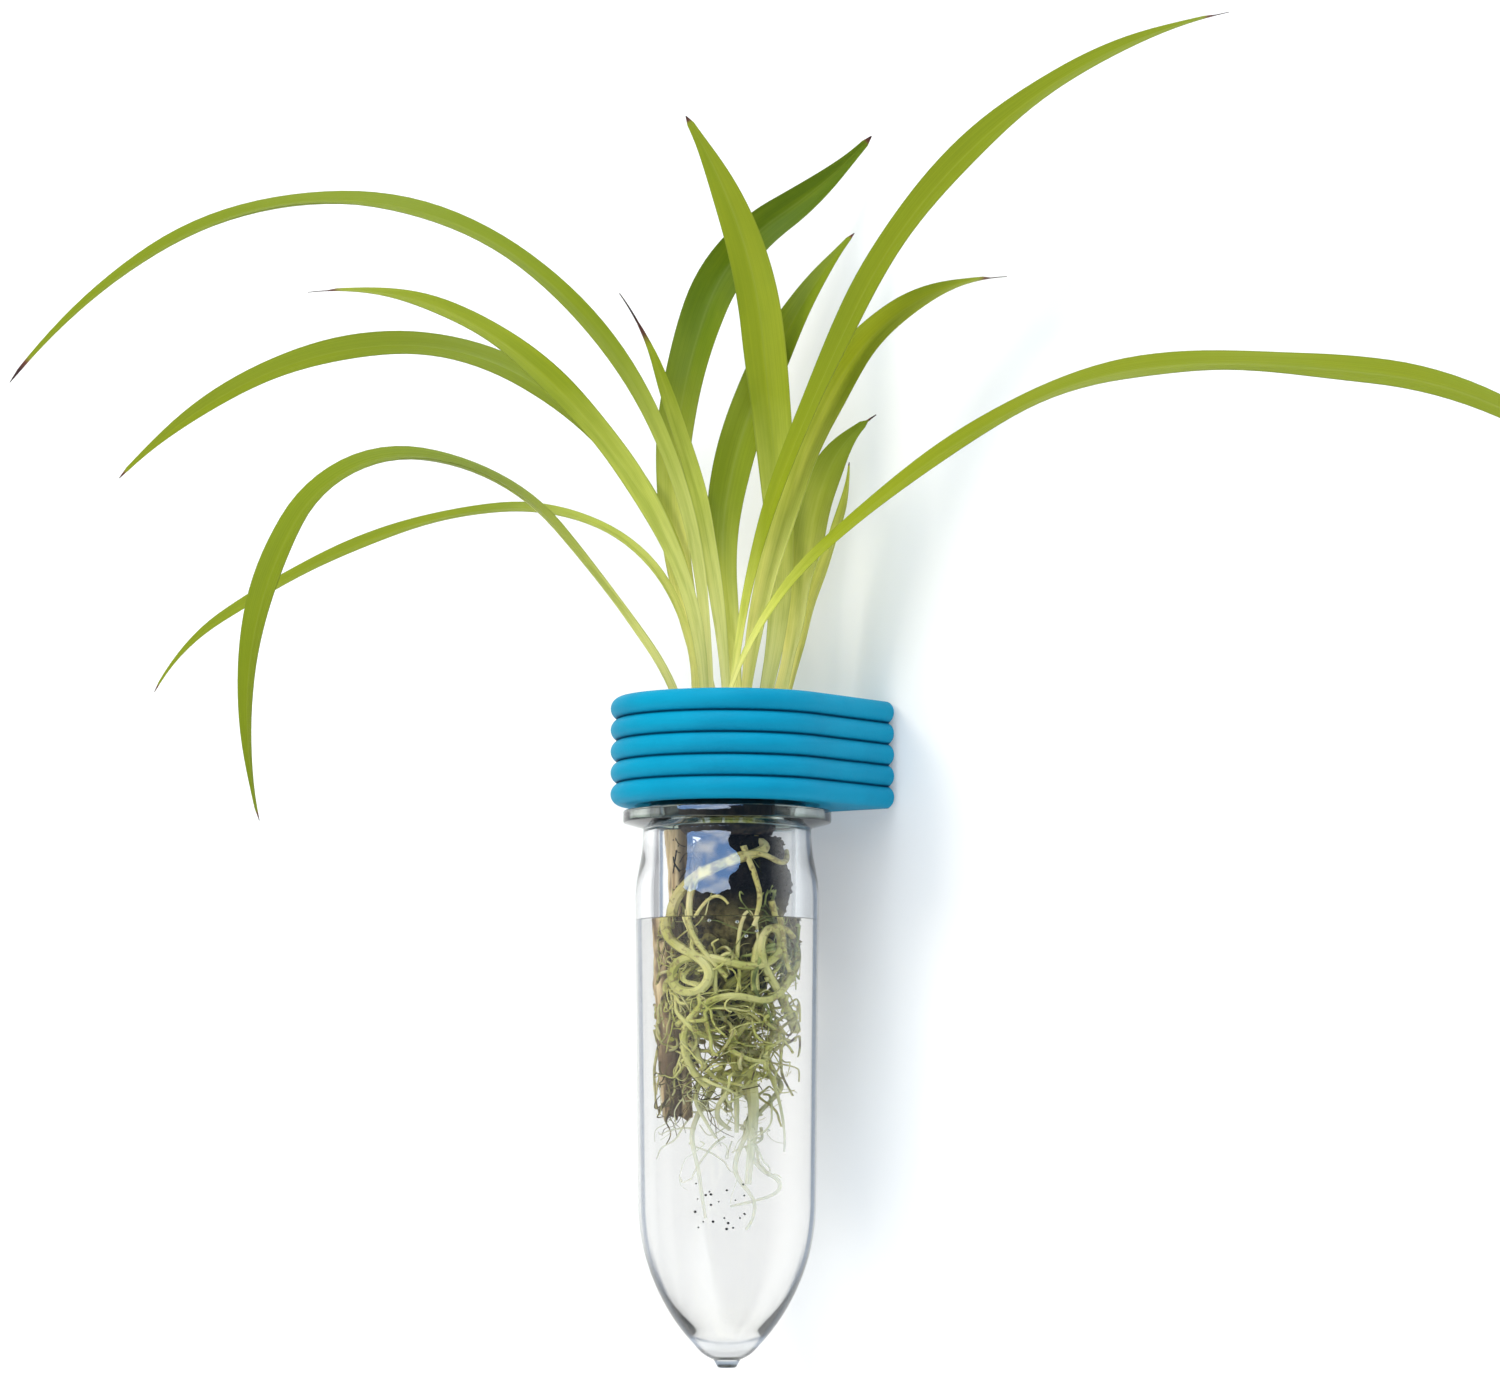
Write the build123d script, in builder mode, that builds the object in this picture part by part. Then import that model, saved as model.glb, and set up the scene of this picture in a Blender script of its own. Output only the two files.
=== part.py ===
# Propagation vase: a clear test tube hung on a wall by a ribbed soft collar, with a rooted leafy cutting in it.
# Frame: +Z up. The collar's flat back lies on the wall plane XZ, and everything else stands out towards -Y.
# The origin is the centre of the collar's back. Lengths are in millimetres and angles in degrees.
# Compass angles are turned about +Z from +X.
import math
import os

from build123d import *

os.makedirs("parts", exist_ok=True)

# Collar: five round ribs, half round in front and straight back to the wall
rib_count = 5
rib_pitch = 3.4
rib_depth = 1.2
collar_radius = 18.5
axis_depth = 21.0
collar_lip = 0.6

# Wall fixing in the collar's back: two disc magnets under an anti-slip pad
pad_width = 31.0
pad_height = 12.6
pad_thickness = 1.0
pad_corner = 2.5
magnet_radius = 5.5
magnet_thickness = 4.0
magnet_spacing = 19.0
pocket_clearance = 0.1

# Tube neck: a 28 mm bottle finish
neck_recess = 0.5
neck_bore_radius = 10.87
neck_root_radius = 12.47
neck_lip = 0.4
bead_radius = 14.0
bead_height = 2.2
bead_slope = 0.9
bead_gap = 1.6
neck_clearance = 0.1
thread_radius = 13.71
thread_pitch = 3.18
thread_turns = 1.75
thread_root_width = 2.2
thread_crest_width = 1.0
thread_top_gap = 2.6
thread_sink = 0.5

# Tube body: support ring, flared shoulder, slow taper, pointed dome and moulding nub
ring_gap = 0.9
ring_radius = 16.5
ring_edge = 1.9
ring_slope = 0.9
shoulder_radius = 13.3
body_radius = 14.5
flare_length = 12.0
taper_length = 46.4
taper_radius = 14.0
dome_radius = 33.0
nose_radius = 6.2
tube_wall = 3.4
nub_radius = 2.1
nub_tip_radius = 1.4
nub_height = 0.9

# Cutting: crown, and the ring on its top that the leaves stand on
crown_radius = 7.2
crown_height = 8.0
crown_rounding = 1.2
crown_recess = 14.0
seat_radius = 6.5

# Leaves: folded blades on a thin midrib
leaf_length = 200.0
leaf_width = 7.2
leaf_thickness = 0.6
edge_share = 0.55
fold_share = 0.2
leaf_span_count = 12
steps_per_span = 6

# Width of a blade from its seat to its tip, as shares of its full width
outline_shares = (0.36, 0.46, 0.6, 0.76, 0.9, 1.0, 0.96, 0.68, 0.1)

# Each leaf: seat share of the seat ring, seat angle, heading, length share, width share,
# rolls from seat to tip, and leans from upright from seat to tip
leaf_shares = {
    "leaf_long_left": (
        0.5, 256, 222, 0.925, 0.74,
        (-75, -68, -60, -48, -34, -33, -48),
        (0, 6, 27, 54, 90, 123, 143),
    ),
    "leaf_wide_left": (
        0.8, 268, 238, 0.565, 0.81,
        (-70, -68, -67, -67, -60, -45, -30),
        (0, 6, 26, 40, 53, 75, 100),
    ),
    "leaf_back_left": (
        0.57, 184, 205, 0.765, 0.76,
        (-80, -65, -52, -50, -54, -64, -63),
        (0, 9, 34, 58, 91, 115, 134),
    ),
    "leaf_droop_left": (
        0.88, 233, 228, 0.715, 0.87,
        (-65, -46, -30, -24, -37, -35, -13),
        (0, 36, 42, 85, 152, 175, 192),
    ),
    "leaf_low_left": (
        0.82, 210, 216, 0.64, 0.5,
        (-75, -57, -41, -34, -40, -47, -48),
        (0, 0, 28, 66, 95, 108, 117, 123, 152),
    ),
    "leaf_brown_tip": (
        0.14, 320, 207, 0.415, 0.45,
        (-75, -70, -62, -52, -48, -50, -58),
        (0, 3, 8, 11, 18, 18, 35),
    ),
    "leaf_dark_back": (0.9, 137, 38, 0.595, 1.03, (75, 70, 62, 59, 72, 95, 105), (0, -16, -7, 7, 19, 55, 42)),
    "leaf_tall_middle": (
        0.76, 22, 217, 0.555, 0.96,
        (-75, -72, -71, -77, -85, -91, -95),
        (0, -11, 1, 5, 6, 20, 31),
    ),
    "leaf_mid_back": (0.37, 79, 37, 0.475, 0.93, (75, 77, 78, 78, 76, 62, 45), (0, -4, -7, 10, 22, 30, 39)),
    "leaf_long_right_up": (
        0.6, 313, 2, 0.79, 0.81,
        (60, 73, 77, 79, 77, 61, 42),
        (0, 12, 27, 32, 52, 70, 87),
    ),
    "leaf_bent_right": (0.54, 352, 10, 0.5, 0.92, (70, 73, 78, 83, 87, 65, 30), (0, 8, 16, 20, 34, 64, 92)),
    "leaf_dark_right": (0.85, 45, 28, 0.32, 0.93, (75, 55, 38, 42, 68, 82, 90), (0, 20, 14, 7, 8, 26, 58)),
    "leaf_thin_right": (0.92, 63, 40, 0.275, 0.46, (40, 40, 40, 33, 32, 32, 33), (0, 24, 15, 15, 20, 16, 0)),
    "leaf_long_right": (
        0.93, 292, -8, 1.0, 0.81,
        (65, 77, 70, 47, 35, 46, 57),
        (0, 36, 61, 67, 75, 91, 99, 102, 117, 126),
    ),
}

# Root ball: woody stem, plug of soil, and roots that wrap, curl and hang
side_angle = 217.0
stem_radius = 1.9
stem_foot_radius = 1.5
stem_offset = 5.8
stem_foot_offset = 6.2
stem_length = 43.0
soil_offset = 1.0
soil_radius = 6.4
soil_length = 19.0
soil_outline_shares = ((0.0, 0.5), (0.2, 0.68), (0.42, 1.0), (0.64, 0.97), (0.86, 0.82), (1.0, 0.7))
root_clearance = 0.3
root_radius = 0.75
root_tip_share = 0.5
wrap_depth = 32.0
wrap_turns = 1.2
wrap_rise_share = 0.18
wrap_angles = (337.0, 97.0)
curl_radius = 1.8
curl_place_radius = 4.0
curl_depth = 26.0
curl_turns = 3.0
curl_angles = (307.0, 37.0, 127.0)
hair_radius = 0.45
hair_place_radius = 0.7
hair_spread = 2.6
hair_depth = 42.0
hair_turns = 1.6
hair_angles = (82.0, 262.0)
strand_sides = 6
stations_per_turn = 14

# Heights and places that follow from the sizes above
collar_top = rib_count * rib_pitch / 2
collar_bottom = -collar_top
groove_radius = collar_radius - rib_depth
collar_bore_radius = bead_radius + neck_clearance
neck_top = collar_top - neck_recess
ring_top = collar_bottom - ring_gap
ring_bottom = ring_top - ring_edge
shoulder_z = ring_bottom - ring_slope
flare_z = shoulder_z - flare_length
dome_z = flare_z - taper_length
crown_top = neck_top - crown_recess
crown_bottom = crown_top - crown_height
soil_bottom = crown_bottom - soil_length
up = Vector(0, 0, 1)
tube_axis = Axis((0, -axis_depth, 0), (0, 0, 1))
axis_plane = Plane.XZ.offset(axis_depth)
back_plane = Plane.XZ


def around(radius, angle, height, centre=(0, 0)):
    """Point at a radius and a compass angle about the tube's axis, or about a centre given from that axis."""
    turn = math.radians(angle)
    return Vector(
        centre[0] + radius * math.cos(turn),
        centre[1] + radius * math.sin(turn) - axis_depth,
        height,
    )


def between(values, share):
    """Value at a share of the way along an evenly spaced list."""
    place = share * (len(values) - 1)
    low = min(int(place), len(values) - 2)
    return values[low] + (values[low + 1] - values[low]) * (place - low)


def finish(piece, name):
    """Names a finished piece and writes it."""
    piece.label = name
    export_step(piece, f"parts/{name}.step")


# Collar: ribbed profile turned through the front half and drawn straight back to the wall
with BuildSketch() as rib_half:
    with BuildLine():
        for rib in range(rib_count):
            rib_low = collar_bottom + rib * rib_pitch
            ThreePointArc(
                (groove_radius, rib_low),
                (collar_radius, rib_low + rib_pitch / 2),
                (groove_radius, rib_low + rib_pitch),
            )
        Polyline((groove_radius, collar_top), (0, collar_top), (0, collar_bottom), (groove_radius, collar_bottom))
    make_face()

with BuildPart() as collar:
    with BuildSketch(axis_plane):
        add(rib_half.sketch)
    revolve(axis=Axis(tube_axis.position, -tube_axis.direction), revolution_arc=180)
    with BuildSketch(axis_plane):
        add(rib_half.sketch)
        mirror(about=Plane.YZ)
    extrude(amount=-axis_depth)
    with Locations(tube_axis.position):
        Hole(radius=collar_bore_radius)
    closed_rims = collar.edges().filter_by(GeomType.CIRCLE).filter_by(lambda edge: edge.is_closed)
    chamfer(closed_rims.group_by(SortBy.RADIUS)[-1], length=collar_lip)
    with BuildSketch(back_plane):
        RectangleRounded(pad_width + 2 * pocket_clearance, pad_height + 2 * pocket_clearance, pad_corner)
    extrude(amount=pad_thickness, mode=Mode.SUBTRACT)
    with BuildSketch(back_plane.offset(pad_thickness)):
        with GridLocations(magnet_spacing, 0, 2, 1):
            Circle(magnet_radius + pocket_clearance)
    extrude(amount=magnet_thickness, mode=Mode.SUBTRACT)
finish(collar.part, "collar")

# Anti-slip pad, flush with the collar's back
with BuildPart() as grip_pad:
    with BuildSketch(back_plane):
        RectangleRounded(pad_width, pad_height, pad_corner)
    extrude(amount=pad_thickness)
finish(grip_pad.part, "grip_pad")

# Two disc magnets, each on the floor of its pocket and under the pad
for magnet_name, magnet_side in (("magnet_left", -1), ("magnet_right", 1)):
    with BuildPart() as magnet:
        with BuildSketch(back_plane.offset(pad_thickness)):
            with Locations((magnet_side * magnet_spacing / 2, 0)):
                Circle(magnet_radius)
        extrude(amount=magnet_thickness)
    finish(magnet.part, magnet_name)

# Tube: outside and inside walls turned as one profile, with arcs that run into each other at the dome
dome_centre = Vector(taper_radius - dome_radius, dome_z)
nose_z = dome_z - math.sqrt((dome_radius - nose_radius) ** 2 - dome_centre.X**2)
nose_centre = Vector(0, nose_z)
nose_turn = math.atan2(dome_z - nose_z, -dome_centre.X)


def dome_point(radius, turn):
    """Point of a wall's dome arc, by its turn below the level where the dome starts."""
    return (dome_centre.X + radius * math.cos(turn), dome_centre.Y - radius * math.sin(turn))


nub_turn = math.acos(nub_radius / nose_radius)
nub_top = (nub_radius, nose_z - nose_radius * math.sin(nub_turn))
nub_bottom = nose_z - nose_radius - nub_height
nose_middle_turn = (nose_turn + nub_turn) / 2
inner_dome_radius = dome_radius - tube_wall
inner_nose_radius = nose_radius - tube_wall
inner_middle_turn = (nose_turn + math.pi / 2) / 2
bead_bottom = ring_top + bead_gap
bead_top = bead_bottom + bead_height

with BuildPart() as tube:
    with BuildSketch(axis_plane):
        with BuildLine():
            Polyline(
                (neck_bore_radius, dome_z + taper_length),
                (neck_bore_radius, neck_top),
                (neck_root_radius - neck_lip, neck_top),
                (neck_root_radius, neck_top - neck_lip),
                (neck_root_radius, bead_top),
                (bead_radius, bead_top - bead_slope),
                (bead_radius, bead_bottom),
                (neck_root_radius, bead_bottom),
                (neck_root_radius, ring_top),
                (ring_radius, ring_top),
                (ring_radius, ring_bottom),
                (shoulder_radius, shoulder_z),
            )
            Bezier(
                (shoulder_radius, shoulder_z),
                (shoulder_radius, shoulder_z - flare_length / 2),
                (body_radius, flare_z + flare_length / 2),
                (body_radius, flare_z),
            )
            Line((body_radius, flare_z), (taper_radius, dome_z))
            ThreePointArc(
                (taper_radius, dome_z),
                dome_point(dome_radius, nose_turn / 2),
                dome_point(dome_radius, nose_turn),
            )
            ThreePointArc(
                dome_point(dome_radius, nose_turn),
                (
                    nose_radius * math.cos(nose_middle_turn),
                    nose_z - nose_radius * math.sin(nose_middle_turn),
                ),
                nub_top,
            )
            Polyline(nub_top, (nub_tip_radius, nub_bottom), (0, nub_bottom), (0, nose_z - inner_nose_radius))
            ThreePointArc(
                (0, nose_z - inner_nose_radius),
                (
                    inner_nose_radius * math.cos(inner_middle_turn),
                    nose_z - inner_nose_radius * math.sin(inner_middle_turn),
                ),
                dome_point(inner_dome_radius, nose_turn),
            )
            ThreePointArc(
                dome_point(inner_dome_radius, nose_turn),
                dome_point(inner_dome_radius, nose_turn / 2),
                (taper_radius - tube_wall, dome_z),
            )
            Line((taper_radius - tube_wall, dome_z), (neck_bore_radius, dome_z + taper_length))
        make_face()
    revolve(axis=tube_axis)
    # Screw thread: one ridge that climbs the neck and runs out at both ends
    thread_stations = round(thread_turns * stations_per_turn)
    thread_low = neck_top - thread_top_gap - thread_turns * thread_pitch
    for station in range(thread_stations + 1):
        thread_share = station / thread_stations
        thread_turn = thread_share * thread_turns
        thread_swell = min(1, station, thread_stations - station)
        thread_crest = neck_root_radius + (thread_radius - neck_root_radius) * thread_swell
        thread_z = thread_low + thread_turn * thread_pitch
        ridge_plane = Plane(
            origin=around(0, 0, thread_z),
            x_dir=around(1, thread_turn * 360, 0) - around(0, 0, 0),
            z_dir=around(1, thread_turn * 360 + 90, 0) - around(0, 0, 0),
        )
        with BuildSketch(ridge_plane):
            Polygon(
                (neck_root_radius - thread_sink, -thread_root_width / 2),
                (thread_crest, -thread_crest_width / 2),
                (thread_crest, thread_crest_width / 2),
                (neck_root_radius - thread_sink, thread_root_width / 2),
                align=None,
            )
    loft(ruled=True)
finish(tube.part, "tube")

# Crown: the short body of the cutting, hidden in the neck, with leaves on top and roots below
with BuildPart() as crown:
    with BuildSketch(Plane.XY.offset(crown_bottom)):
        with Locations((0, -axis_depth)):
            Circle(crown_radius)
    extrude(amount=crown_height)
    fillet(crown.edges().group_by(Axis.Z)[0], radius=crown_rounding)
finish(crown.part, "crown")


def leaf_planes(seat_share, seat_angle, heading, length, rolls, leans):
    """Planes across a leaf from seat to tip, in an upright plane that holds its midrib."""
    outward = around(1, heading, 0) - around(0, 0, 0)
    across = up.cross(outward)
    spot = around(seat_share * seat_radius, seat_angle, crown_top)
    steps = leaf_span_count * steps_per_span
    planes = []
    for step in range(steps + 1):
        lean = math.radians(between(leans, step / steps))
        along = outward * math.sin(lean) + up * math.cos(lean)
        if step % steps_per_span == 0:
            roll = math.radians(between(rolls, step / steps))
            side = across * math.cos(roll) + along.cross(across) * math.sin(roll)
            planes.append(Plane(spot, x_dir=side, z_dir=along))
        spot = spot + along * (length / steps)
    return planes


def leaf(seat_share, seat_angle, heading, length_share, width_share, rolls, leans):
    """One folded blade, lofted straight from section to section."""
    planes = leaf_planes(seat_share, seat_angle, heading, length_share * leaf_length, rolls, leans)
    with BuildPart() as blade:
        for number, plane in enumerate(planes):
            width = width_share * leaf_width * between(outline_shares, number / leaf_span_count)
            rise = fold_share * width
            with BuildSketch(plane):
                Polygon(
                    (-width / 2, rise),
                    (0, 0),
                    (width / 2, rise),
                    (width / 2, rise + edge_share * leaf_thickness),
                    (0, leaf_thickness),
                    (-width / 2, rise + edge_share * leaf_thickness),
                    align=None,
                )
        loft(ruled=True)
    return blade.part


for leaf_name, leaf_row in leaf_shares.items():
    finish(leaf(*leaf_row), leaf_name)

# Woody stem, leaning out from under the crown
stem_top_spot = around(stem_offset, side_angle, crown_bottom)
stem_foot_spot = around(stem_foot_offset, side_angle, crown_bottom - stem_length)
with BuildPart() as stem:
    with BuildSketch(Plane(stem_top_spot)):
        Circle(stem_radius)
    with BuildSketch(Plane(stem_foot_spot)):
        Circle(stem_foot_radius)
    loft(ruled=True)
finish(stem.part, "stem")

# Plug of soil under the crown, grooved for the stem
soil_spot = around(-soil_offset, side_angle, 0)
soil_centre = (soil_spot.X, soil_spot.Y + axis_depth)
with BuildPart() as soil_plug:
    with BuildSketch(Plane.XZ.offset(-soil_spot.Y)):
        with BuildLine():
            soil_points = [
                (soil_spot.X + wide_share * soil_radius, crown_bottom - deep_share * soil_length)
                for deep_share, wide_share in soil_outline_shares
            ]
            Polyline((soil_spot.X, crown_bottom), *soil_points, (soil_spot.X, soil_bottom), close=True)
        make_face()
    revolve(axis=Axis(soil_spot, (0, 0, 1)))
    with BuildSketch(Plane(stem_top_spot)):
        Circle(stem_radius + root_clearance)
    with BuildSketch(Plane(stem_foot_spot)):
        Circle(stem_foot_radius + root_clearance)
    loft(ruled=True, mode=Mode.SUBTRACT)
finish(soil_plug.part, "soil_plug")


def strand(route, stations, radius):
    """Root of many sides along a route, which takes a share of the way and gives a point."""
    with BuildPart() as root:
        for station in range(stations + 1):
            share = station / stations
            before = route(max(share - 1 / stations / 2, 0))
            after = route(min(share + 1 / stations / 2, 1))
            along = after - before if station else -up
            outward = route(share) - around(0, 0, route(share).Z)
            sideways = along.cross(outward)
            with BuildSketch(Plane(route(share), x_dir=sideways, z_dir=along)):
                RegularPolygon(radius * (1 - (1 - root_tip_share) * share), strand_sides)
        loft(ruled=True)
    return root.part


wrap_radius = stem_foot_offset + stem_foot_radius + root_clearance + root_radius
wrap_seat_radius = crown_radius - crown_rounding - root_radius


def wrap_route(angle):
    """Route that leaves the crown's underside, swells out and winds round the soil and the stem."""
    def route(share):
        rise = min(share / wrap_rise_share, 1)
        swell = rise * rise * (3 - 2 * rise)
        wound = max(share - wrap_rise_share, 0) / (1 - wrap_rise_share)
        radius = wrap_seat_radius + (wrap_radius - wrap_seat_radius) * swell
        return around(radius, angle + 360 * wrap_turns * wound, crown_bottom - wrap_depth * share)
    return route


def curl_route(angle):
    """Route that corkscrews down from the soil about an upright line of its own."""
    middle = around(curl_place_radius, angle, 0, soil_centre)

    def route(share):
        turned = angle + 180 + 360 * curl_turns * share
        centre = (middle.X, middle.Y + axis_depth)
        return around(curl_radius, turned, soil_bottom - curl_depth * share, centre)
    return route


def hair_route(angle):
    """Route of a long fine root that hangs from the soil and opens out as it goes down."""
    def route(share):
        radius = hair_place_radius + hair_spread * max(2 * share - 1, 0)
        return around(radius, angle + 360 * hair_turns * share, soil_bottom - hair_depth * share, soil_centre)
    return route


for number, angle in enumerate(wrap_angles, start=1):
    wrap_stations = round(stations_per_turn * wrap_turns / (1 - wrap_rise_share))
    finish(strand(wrap_route(angle), wrap_stations, root_radius), f"root_wrap_{number}")
for number, angle in enumerate(curl_angles, start=1):
    finish(strand(curl_route(angle), round(stations_per_turn * curl_turns), root_radius), f"root_curl_{number}")
for number, angle in enumerate(hair_angles, start=1):
    finish(strand(hair_route(angle), round(stations_per_turn * hair_turns), hair_radius), f"root_hair_{number}")
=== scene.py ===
# %% [markdown]
# # Propagation vase
# A clear tube hangs on a wall in a ribbed blue collar. A rooted cutting with fourteen long leaves stands in
# its neck, and its roots hang in the water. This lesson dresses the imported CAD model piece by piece, in the
# CAD model's own frame, so that nothing has to be fitted afterwards.

# %% Load the frame
import math
import random

import bmesh
import bpy
import numpy as np
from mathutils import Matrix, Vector, noise


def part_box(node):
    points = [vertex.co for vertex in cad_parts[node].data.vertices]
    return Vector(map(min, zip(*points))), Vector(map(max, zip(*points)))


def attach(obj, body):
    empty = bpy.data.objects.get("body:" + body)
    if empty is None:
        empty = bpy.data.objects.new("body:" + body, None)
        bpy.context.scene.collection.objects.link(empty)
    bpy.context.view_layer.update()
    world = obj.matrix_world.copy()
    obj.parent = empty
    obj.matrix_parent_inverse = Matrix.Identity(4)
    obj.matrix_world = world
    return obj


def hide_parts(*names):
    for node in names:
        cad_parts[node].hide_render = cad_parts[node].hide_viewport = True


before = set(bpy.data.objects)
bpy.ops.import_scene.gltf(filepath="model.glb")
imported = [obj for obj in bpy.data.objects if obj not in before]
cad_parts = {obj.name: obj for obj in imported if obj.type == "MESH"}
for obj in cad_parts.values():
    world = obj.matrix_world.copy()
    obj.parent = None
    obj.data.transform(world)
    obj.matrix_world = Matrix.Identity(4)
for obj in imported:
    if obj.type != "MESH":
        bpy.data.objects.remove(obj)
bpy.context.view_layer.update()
scene = bpy.context.scene
MM = 0.001

# %% [markdown]
# ## Where things are
# Shapes are worked out in millimetres and made metres when a mesh is kept. The tube's box gives its upright
# axis and its top and bottom, so every turned piece is centred on the CAD tube. The photograph is taken 37
# degrees round to the right, and a point can be given the way the photograph shows it: so far to the right,
# so far towards the eye, and so high.

# %% The tube's axis and the directions of the view
VIEW_AZIMUTH = math.radians(37)
UP = Vector((0, 0, 1))
RIGHT = Vector((math.cos(VIEW_AZIMUTH), math.sin(VIEW_AZIMUTH), 0))
NEAR = Vector((math.sin(VIEW_AZIMUTH), -math.cos(VIEW_AZIMUTH), 0))


def box_mm(node):
    """Lowest and highest corner of a CAD node, in millimetres."""
    low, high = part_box(node)
    return low / MM, high / MM


tube_low, tube_high = box_mm("tube")
collar_low, collar_high = box_mm("collar")
crown_low, crown_high = box_mm("crown")
AXIS = Vector(((tube_low.x + tube_high.x) / 2, (tube_low.y + tube_high.y) / 2, 0))


def seen_at(right, near, height):
    """Point given as the photograph shows it, from the tube's axis."""
    return AXIS + RIGHT * right + NEAR * near + UP * height


def around(radius, angle, height):
    """Point at a radius and a compass angle in degrees about the tube's axis."""
    turn = math.radians(angle)
    return AXIS + Vector((radius * math.cos(turn), radius * math.sin(turn), height))


def compass(turn):
    """Level direction at a turn in radians."""
    return Vector((math.cos(turn), math.sin(turn), 0))


print("tube axis", tuple(round(c, 2) for c in AXIS), "from", round(tube_low.z, 1), "to", round(tube_high.z, 1))

# %% [markdown]
# ## Camera
# A long lens a little under the tube's middle, looking slightly up: the tops of the collar's ribs bow upwards
# in the photograph. The aim and the scale come from the tube's width and place in the picture.

# %% Camera
PICTURE_WIDTH = 1500
MM_PER_PIXEL = 0.1587
SENSOR_WIDTH = 36
AIM_RIGHT = 3.6
AIM_HEIGHT = 9.7
EYE_DISTANCE = 700
EYE_HEIGHT = -61
aim = seen_at(AIM_RIGHT, 0, AIM_HEIGHT)
eye = seen_at(AIM_RIGHT, EYE_DISTANCE, EYE_HEIGHT)
lens_data = bpy.data.cameras.new("photo_camera")
lens_data.sensor_width = SENSOR_WIDTH
lens_data.lens = (aim - eye).length / MM_PER_PIXEL * SENSOR_WIDTH / PICTURE_WIDTH
camera = bpy.data.objects.new("photo_camera", lens_data)
camera.location = eye * MM
camera.rotation_euler = (aim - eye).to_track_quat("-Z", "Y").to_euler()
scene.collection.objects.link(camera)
scene.camera = camera
scene.view_settings.view_transform = "Standard"
print("lens", round(lens_data.lens, 1), "mm")

# %% [markdown]
# ## Node sums
# Materials and Geometry Nodes trees are graphs, but a sum reads better than a graph. `Wire` holds one output
# of a node, and its operators add Math nodes. `Desk` holds the tree: its one method `node` adds any node, sets
# it up, and then gives its sockets their values or links. The other methods are short names for nodes that
# come back often.


# %% Wire and Desk
class Wire:
    """An output of a node that takes part in sums."""

    def __init__(self, desk, socket):
        self.desk = desk
        self.socket = socket

    def other(self, name):
        """Another output of the same node."""
        return Wire(self.desk, self.socket.node.outputs[name])

    def maths(self, operation, first, second=0.0):
        return self.desk.node("ShaderNodeMath", {"operation": operation}, {0: first, 1: second})

    def __add__(self, value):
        return self.maths("ADD", self, value)

    def __sub__(self, value):
        return self.maths("SUBTRACT", self, value)

    def __rsub__(self, value):
        return self.maths("SUBTRACT", value, self)

    def __mul__(self, value):
        return self.maths("MULTIPLY", self, value)

    def __truediv__(self, value):
        return self.maths("DIVIDE", self, value)

    def __pow__(self, value):
        return self.maths("POWER", self, value)

    def __abs__(self):
        return self.maths("ABSOLUTE", self)

    __radd__ = __add__
    __rmul__ = __mul__

    def step(self, low, high):
        """Smooth rise from 0 at low to 1 at high."""
        sockets = {0: self, 1: low, 2: high}
        return self.desk.node("ShaderNodeMapRange", {"interpolation_type": "SMOOTHSTEP"}, sockets)


class Desk:
    """A node tree on the bench, of a material, of the room or of Geometry Nodes."""

    def __init__(self, tree):
        self.tree = tree

    def node(self, kind, settings=None, sockets=None, output=0):
        made = self.tree.nodes.new(kind)
        for name, value in (settings or {}).items():
            if name == "stops":
                lay_stops(made.color_ramp.elements, value)
            else:
                setattr(made, name, value)
        for place, value in (sockets or {}).items():
            for item in value if isinstance(value, list) else [value]:
                if isinstance(item, Wire):
                    self.tree.links.new(item.socket, made.inputs[place])
                else:
                    made.inputs[place].default_value = item
        return Wire(self, made.outputs[output]) if made.outputs else None

    def mix(self, factor, low, high, blend="MIX"):
        """Two colours mixed."""
        settings = {"data_type": "RGBA", "blend_type": blend}
        return self.node("ShaderNodeMix", settings, {0: factor, 6: low, 7: high}, 2)

    def ramp(self, value, *stops):
        """Colour that runs through stops, each a place and a colour."""
        return self.node("ShaderNodeValToRGB", {"stops": stops}, {0: value})

    def place(self):
        """Place on the object, in metres."""
        return self.node("ShaderNodeTexCoord", output="Object")

    def stretched(self, place, *scale):
        """Coordinates scaled along each axis."""
        return self.node("ShaderNodeMapping", {}, {"Vector": place, "Scale": scale})

    def grain(self, place, scale, detail=2.0):
        """Noise from 0 to 1."""
        return self.node("ShaderNodeTexNoise", {}, {"Vector": place, "Scale": scale, "Detail": detail})

    def bump(self, height, strength, distance):
        return self.node("ShaderNodeBump", {}, {"Height": height, "Strength": strength, "Distance": distance})

    def part(self, vector, letter):
        """One coordinate of a vector."""
        return self.node("ShaderNodeSeparateXYZ", {}, {0: vector}, letter)

    def dot(self, vector, way):
        """How far a vector goes along a direction."""
        return self.node("ShaderNodeVectorMath", {"operation": "DOT_PRODUCT"}, {0: vector, 1: way}, "Value")

    def slant(self):
        """How far the surface turns away from the eye, from 0 to 1 at the rim."""
        return self.node("ShaderNodeLayerWeight", {}, {"Blend": 0.5}, "Facing")

    def rays(self, first, second):
        """1 for rays of two kinds, 0 for all others."""
        path = self.node("ShaderNodeLightPath", output=f"Is {first} Ray")
        return path.maths("MAXIMUM", path, path.other(f"Is {second} Ray"))

    def surface(self, sockets):
        return self.node("ShaderNodeBsdfPrincipled", {}, sockets)

    def clear(self, *colour):
        """Shader that lets light straight through, tinted if a colour is given."""
        return self.node("ShaderNodeBsdfTransparent", {}, {"Color": colour} if colour else {})

    def blend(self, factor, low, high):
        """Two shaders mixed."""
        return self.node("ShaderNodeMixShader", {}, {0: factor, 1: low, 2: high})


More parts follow.
